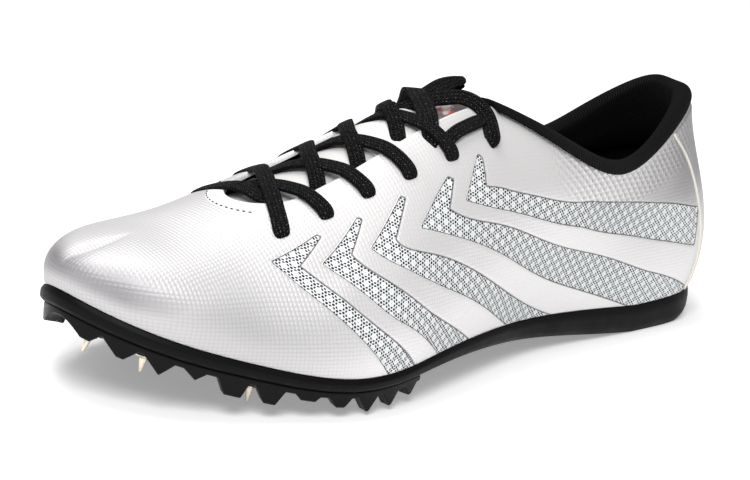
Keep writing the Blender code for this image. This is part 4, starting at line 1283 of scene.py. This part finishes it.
def free_route(stops):
    """The same from stops of station, millimetres sideways and up, width and the way that it faces."""
    station, sideways, height, width, tilt = between(stops)
    points = np.stack([station * SOLE_LENGTH, sideways * MM, height * MM], -1)
    level = np.sin(np.radians(tilt)) * math.sqrt(0.5)
    outs = np.stack([level, level, np.cos(np.radians(tilt))], -1)
    return points, outs, width


def rings_round(points, wide, deep, across, through):
    """A ring of points round each point of a line, from its offsets along two directions."""
    return points[:, None] + wide[:, None] * across[..., None] + deep[:, None] * through[..., None]


def lace_body(route, sides=16):
    """Rings of points of one flat lace with rounded edges, and its surface coordinates."""
    points, outs, width = route
    run = unit(np.gradient(points, axis=0))
    wide = unit(np.cross(outs, run))
    outs = unit(np.cross(run, wide))
    angles = ring_angles(sides)
    flat = np.sign(np.cos(angles)) * np.abs(np.cos(angles)) ** 0.7 * LACE_WIDTH / 2
    deep = np.sign(np.sin(angles)) * np.abs(np.sin(angles)) ** 0.6 * LACE_THICKNESS / 2
    bunched = 1 + 3.0 * (1 - width[:, None])
    rings = rings_round(points, wide, outs, flat * width[:, None], deep * bunched)
    coords = np.stack(np.meshgrid(lengths(points), flat, indexing="ij"), -1)
    return rings, coords.reshape(-1, 2)


def lace_piece(name, routes, node):
    """One piece from the laces of a crossing."""
    points = []
    faces = []
    coords = []
    for route in routes:
        rings, flat = lace_body(route)
        faces += ring_faces(*rings.shape[:2], sum(map(len, points)))
        points.append(rings.reshape(-1, 3))
        coords.append(flat)
    piece = make(name, np.vstack(points), faces, LACE)
    add_uv(piece, np.vstack(coords))
    clean(piece)
    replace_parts(piece, node)


# How a lace crosses the throat, from under one edge to the eyelet on the other side: the way across (negative
# on the side that it comes from, up to 1 at the eyelet), the lift in millimetres of the lateral side's lace and
# of the medial side's, the width, and how far each has come towards the eyelet's station.
CROSSING = (
    (-0.85, -4.4, -4.4, 1.00, 0.00, 0.02),
    (-0.60, -3.2, -3.2, 1.00, 0.10, 0.22),
    (-0.40, -2.0, -1.4, 1.00, 0.22, 0.37),
    (-0.20, -1.2, 0.2, 1.00, 0.38, 0.52),
    (0.00, -0.6, 1.0, 1.00, 0.52, 0.67),
    (0.20, 0.0, 1.0, 1.00, 0.66, 0.84),
    (0.38, 0.6, 0.7, 1.00, 0.77, 1.00),
    (0.53, 1.1, 0.3, 1.00, 0.86, 1.12),
    (0.68, 1.2, 0.0, 1.00, 0.93, 1.14),
    (0.85, 1.2, 0.0, 1.02, 0.98, 1.08),
    (0.95, 1.0, -0.1, 1.02, 1.00, 1.02),
    (1.02, 0.3, -0.5, 0.95, 1.00, 1.00),
    (1.04, -1.2, -1.8, 0.75, 1.00, 1.00),
    (1.04, -3.6, -3.6, 0.65, 1.00, 1.00),
)
# The lowest lace from the medial eyelet to under the lateral edge, as station, way across, lift and width.
LOWEST = (
    (0.776, -0.293, -3.6, 0.65),
    (0.776, -0.293, -1.8, 0.75),
    (0.776, -0.285, -0.5, 0.95),
    (0.776, -0.260, -0.1, 1.0),
    (0.775, -0.200, -0.1, 1.0),
    (0.774, -0.130, 0.2, 1.0),
    (0.774, -0.060, 0.8, 1.0),
    (0.773, 0.000, 0.7, 1.0),
    (0.770, 0.050, 0.3, 1.0),
    (0.764, 0.090, -0.6, 1.0),
    (0.756, 0.130, -1.8, 1.0),
    (0.748, 0.170, -3.6, 1.0),
)
# The lace over it, from the lateral eyelet across the edge to the next medial eyelet.
SECOND = (
    (0.776, 0.293, -3.6, 0.65),
    (0.776, 0.293, -1.2, 0.75),
    (0.776, 0.287, 0.3, 0.95),
    (0.775, 0.268, 1.0, 1.02),
    (0.772, 0.235, 1.2, 1.02),
    (0.767, 0.180, 1.5, 1.0),
    (0.761, 0.120, 2.0, 1.0),
    (0.754, 0.060, 2.2, 1.0),
    (0.745, 0.000, 2.0, 1.0),
    (0.735, -0.055, 1.5, 1.0),
    (0.726, -0.110, 0.8, 1.0),
    (0.720, -0.170, 0.1, 1.0),
    (0.718, -0.225, 0.0, 1.02),
    (0.719, -0.258, 0.0, 1.02),
    (0.719, -0.277, -0.5, 0.95),
    (0.719, -0.283, -1.8, 0.75),
    (0.719, -0.283, -3.6, 0.65),
)
# The laces at the top, by station, distances sideways and up in millimetres, width and the way that they face
# in degrees from up towards the toe and the lateral side: the wide band, the near one, the arch over the far
# corner of the tongue and the stretch tucked in beside the near edge.
TOP_BAND = (
    (0.556, 19.0, 76.0, 1.0, 50),
    (0.548, 17.0, 80.6, 1.05, 50),
    (0.540, 13.2, 85.0, 1.2, 50),
    (0.530, 8.2, 87.3, 1.3, 45),
    (0.520, 3.3, 88.8, 1.3, 40),
    (0.510, -1.5, 89.4, 1.3, 30),
    (0.500, -5.9, 89.1, 1.2, 5),
    (0.488, -10.4, 86.6, 1.1, -25),
    (0.476, -14.4, 82.4, 1.0, -45),
    (0.470, -17.2, 78.4, 0.9, -55),
    (0.468, -17.6, 75.0, 0.7, -60),
    (0.468, -16.0, 73.0, 0.6, -60),
)
TOP_NEAR = (
    (0.530, -3.0, 83.0, 1.0, 40),
    (0.520, 1.5, 86.0, 1.0, 40),
    (0.508, 5.0, 88.4, 1.0, 45),
    (0.495, 8.2, 89.6, 1.0, 50),
    (0.482, 10.0, 90.1, 1.0, 52),
    (0.472, 12.2, 89.7, 1.0, 52),
    (0.465, 14.8, 88.5, 1.0, 54),
    (0.461, 17.7, 86.4, 1.0, 55),
    (0.462, 20.6, 83.9, 1.0, 56),
    (0.466, 23.3, 81.1, 1.0, 58),
    (0.467, 24.3, 79.0, 0.95, 60),
    (0.468, 23.4, 77.3, 0.75, 60),
    (0.468, 21.8, 76.2, 0.65, 60),
)
TOP_ARCH = (
    (0.512, -3.5, 83.5, 0.9, 70),
    (0.498, -2.6, 86.2, 1.0, 72),
    (0.480, -3.2, 87.9, 1.0, 73),
    (0.460, -4.8, 88.8, 1.0, 73),
    (0.440, -6.3, 89.2, 0.9, 73),
    (0.420, -7.6, 89.2, 0.7, 73),
    (0.404, -9.4, 88.4, 0.45, 70),
    (0.397, -12.0, 86.6, 0.35, 30),
    (0.404, -15.0, 84.0, 0.5, -20),
    (0.426, -17.6, 80.4, 0.7, -50),
    (0.452, -19.0, 77.2, 0.8, -60),
    (0.468, -18.0, 75.2, 0.7, -60),
    (0.470, -16.2, 73.6, 0.6, -60),
)
TUCKED = (
    (0.544, 19.6, 75.0, 0.8, 50),
    (0.532, 20.4, 79.0, 0.9, 50),
    (0.515, 20.2, 81.8, 0.9, 50),
    (0.498, 19.8, 83.0, 0.9, 50),
    (0.481, 19.4, 83.9, 0.9, 50),
    (0.468, 18.6, 84.0, 0.8, 50),
)


def laces():
    """The lowest lace and five crossings, run through the eyelets."""
    stations = EYELETS["station"]
    heights = EYELETS["height"]
    lace_piece("lace_lowest", [lace_route(LOWEST)], "lace_bar")
    for k in range(len(stations) - 2):
        gap = stations[k + 1] - stations[k]
        routes = []
        for side, lift, share in ((LATERAL, 1, 4), (MEDIAL, 2, 5)):
            stops = []
            for row in CROSSING:
                end = heights[k] if row[0] < 0 else heights[k + 1]
                stops.append((stations[k] + gap * row[share], side * row[0] * (1 - end), row[lift], row[3]))
            routes.append(lace_route(SECOND if k == 0 and side == MEDIAL else stops))
        lace_piece("lace_pair_%d" % (k + 1), routes, "lace_cross_%d" % (k + 1))
    top = [free_route(stops) for stops in (TOP_BAND, TOP_NEAR, TOP_ARCH, TUCKED)]
    lace_piece("lace_pair_top", top, "lace_cross_5")


def tube(name, points, radius, material, sides=8):
    """A thin round piping along points."""
    run = unit(np.gradient(points, axis=0))
    wide = unit(np.cross(run, np.array([0.3, 0.2, 1.0])))
    angles = ring_angles(sides)[None]
    rings = rings_round(points, wide, np.cross(run, wide), radius * np.cos(angles), radius * np.sin(angles))
    solid(name, rings, material)


def heel_piping():
    """Cream piping along both edges of the strip up the heel."""
    places = np.linspace(0, 0.4, 500)
    for side in (LATERAL, MEDIAL):
        route = []
        for height in np.linspace(HEEL_STRIP["height"][0], 0.985, 60):
            points = on_section(side, places, np.full(places.shape, height))
            reach = np.linalg.norm(points - points[0], axis=1)
            half = float(strip_at["half_width"](height)) * BALL_WIDTH
            route.append(skin(side, np.interp(half, reach, places), height, PIPING_LIFT))
        tube("heel_piping_%s" % NAMES[side], np.array(route), PIPING_RADIUS, CREAM)


def surface_finder(points):
    """A function that gives the height of the outer skin at a place seen from above."""
    high = points[points[:, 2] > STITCH_LEVEL]
    tree = KDTree(len(high))
    for i, point in enumerate(high):
        tree.insert((point[0], point[1], 0), i)
    tree.balance()

    def find(x, y):
        hits = tree.find_n((x, y, 0), 4)
        weights = np.array([1 / (hit[2] + 1e-5) for hit in hits])
        heights = np.array([high[hit[1]][2] for hit in hits])
        return float((weights * heights).sum() / weights.sum())

    return find


def stitches(find):
    """The stitched arc round the front of the throat."""
    front = THROAT_FRONT * SOLE_LENGTH
    offset = PATCH_WIDTH - 1.2 * MM
    route = []
    for turn in np.radians(np.linspace(-70, 38, 240)):
        x = front + offset - (THROAT_ROUND + offset) * (1 - math.cos(turn))
        y = float(ridge_sideways(x)) + (THROAT_HALF_WIDTH + offset) * math.sin(turn)
        route.append((x, y, find(x, y) + 0.1 * MM))
    route = np.array(route)
    run = lengths(route)
    rows, sides = 5, 6
    angles = ring_angles(sides)
    radius = STITCH_RADIUS * np.sin(np.linspace(0.15, math.pi - 0.15, rows))[:, None]
    across = radius * np.cos(angles)
    through = radius * np.sin(angles)
    points = []
    faces = []
    for start in np.arange(0, run[-1] - STITCH_LENGTH, STITCH_PITCH):
        at = start + STITCH_LENGTH * np.linspace(0, 1, rows)
        line = np.stack([np.interp(at, run, route[:, axis]) for axis in range(3)], 1)
        direction = unit(line[-1:] - line[:1])
        wide = unit(np.cross(direction, np.array([0, 0, 1.0])))
        rings = rings_round(line, wide, np.cross(direction, wide), across, through)
        faces += ring_faces(rows, sides, len(points) * rows * sides)
        points.append(rings.reshape(-1, 3))
    make("throat_stitches", np.vstack(points), faces, THREAD)


def keeper():
    """A white strap across the tongue that the laces pass over."""
    first = EYELETS["station"][4] + 0.012
    last = EYELETS["station"][3] + 0.004
    turns = np.linspace(0, 2 * math.pi, 60, endpoint=False)
    along, share = np.meshgrid(np.linspace(first, last, 26), np.cos(turns) * 0.96, indexing="ij")
    bow = KEEPER_BOW * (1 - share ** 2) * (along - first) / (last - first)
    ends = np.sin(np.linspace(0.12, math.pi - 0.12, len(along)))[:, None] ** 0.3
    half = KEEPER_HALF * np.sign(np.sin(turns)) * np.sqrt(np.abs(np.sin(turns)))
    points = tongue_point(along + bow, share, half * ends + KEEPER_LIFT)
    solid("tongue_keeper", points, KEEPER)


def insole():
    """The footbed with a rounded top edge."""
    places = even_places(240)
    gap = WALL + 2 * CLEARANCE
    rings = []
    for side in (LATERAL, MEDIAL):
        inner = foot(side, places) - outward(side, places) * gap
        inner[:, 2] = bed(place_of(inner[:, 0] / SOLE_LENGTH)) + 2 * CLEARANCE
        middle = inner.copy()
        middle[:, 1] = (outline_at["lateral"](places) + outline_at["medial"](places)) * BALL_WIDTH / 2
        high = np.array([0, 0, INSOLE_THICKNESS])
        round_edge = [inner, inner + high * 0.7, inner + (middle - inner) * 0.02 + high * 0.94]
        round_edge += [inner + (middle - inner) * share + high for share in (0.05, 0.2, 0.4, 0.6, 0.8)]
        rings.append(round_edge)
    points = np.stack(rings[0] + rings[1][::-1], 1)
    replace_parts(solid("insole_pad", points, INSOLE_CLOTH), "insole")


def camera():
    """The photograph's view."""
    data = bpy.data.cameras.new("camera")
    data.sensor_width = 36
    data.lens = CAMERA_LENS
    data.clip_end = 20
    made = link("camera", data)
    bpy.context.scene.camera = made
    azimuth, elevation, roll = (math.radians(angle) for angle in CAMERA_ANGLES)
    back = Vector((math.sin(azimuth) * math.cos(elevation), -math.cos(azimuth) * math.cos(elevation),
                   math.sin(elevation)))
    right = Vector((math.cos(azimuth), math.sin(azimuth), 0))
    up = back.cross(right)
    turned_right = right * math.cos(roll) + up * math.sin(roll)
    turned_up = up * math.cos(roll) - right * math.sin(roll)
    pose = Matrix((turned_right, turned_up, back)).transposed().to_4x4()
    pose.translation = Vector(CAMERA_TARGET) + back * CAMERA_DISTANCE
    made.matrix_world = pose


def area_light(name, place, size, power, target=(0, 0, 0.04)):
    data = bpy.data.lights.new(name, "AREA")
    data.shape = "RECTANGLE"
    data.size, data.size_y = size
    data.energy = power
    made = link(name, data)
    made.location = place
    made.rotation_euler = (Vector(target) - Vector(place)).to_track_quat("-Z", "Y").to_euler()


def studio():
    """A pale floor, soft lights and a white surround."""
    mesh = bpy.data.meshes.new("floor")
    mesh.from_pydata([(-9, -9, 0), (9, -9, 0), (9, 9, 0), (-9, 9, 0)], [], [(0, 1, 2, 3)])
    pale = Nodes("floor_paper", (0.93, 0.93, 0.935), 0.7, Emission_Color=(1, 1, 1, 1), Emission_Strength=0.3)
    mesh.materials.append(pale.material)
    link("floor", mesh)
    world = bpy.data.worlds.new("surround")
    world.use_nodes = True
    background = world.node_tree.nodes["Background"].inputs
    background["Color"].default_value = (1, 1, 1, 1)
    background["Strength"].default_value = 0.33
    bpy.context.scene.world = world
    area_light("key", (0.75, 0.55, 1.05), (0.6, 0.6), 13.0)
    area_light("top", (0.15, -0.35, 1.2), (0.9, 0.5), 8.5)


camera()
skin_points = upper()
sole()
spike_plate()
spikes()
lining()
tongue()
keeper()
laces()
heel_piping()
stitches(surface_finder(skin_points))
insole()
studio()

bpy.context.scene.view_settings.view_transform = "Standard"
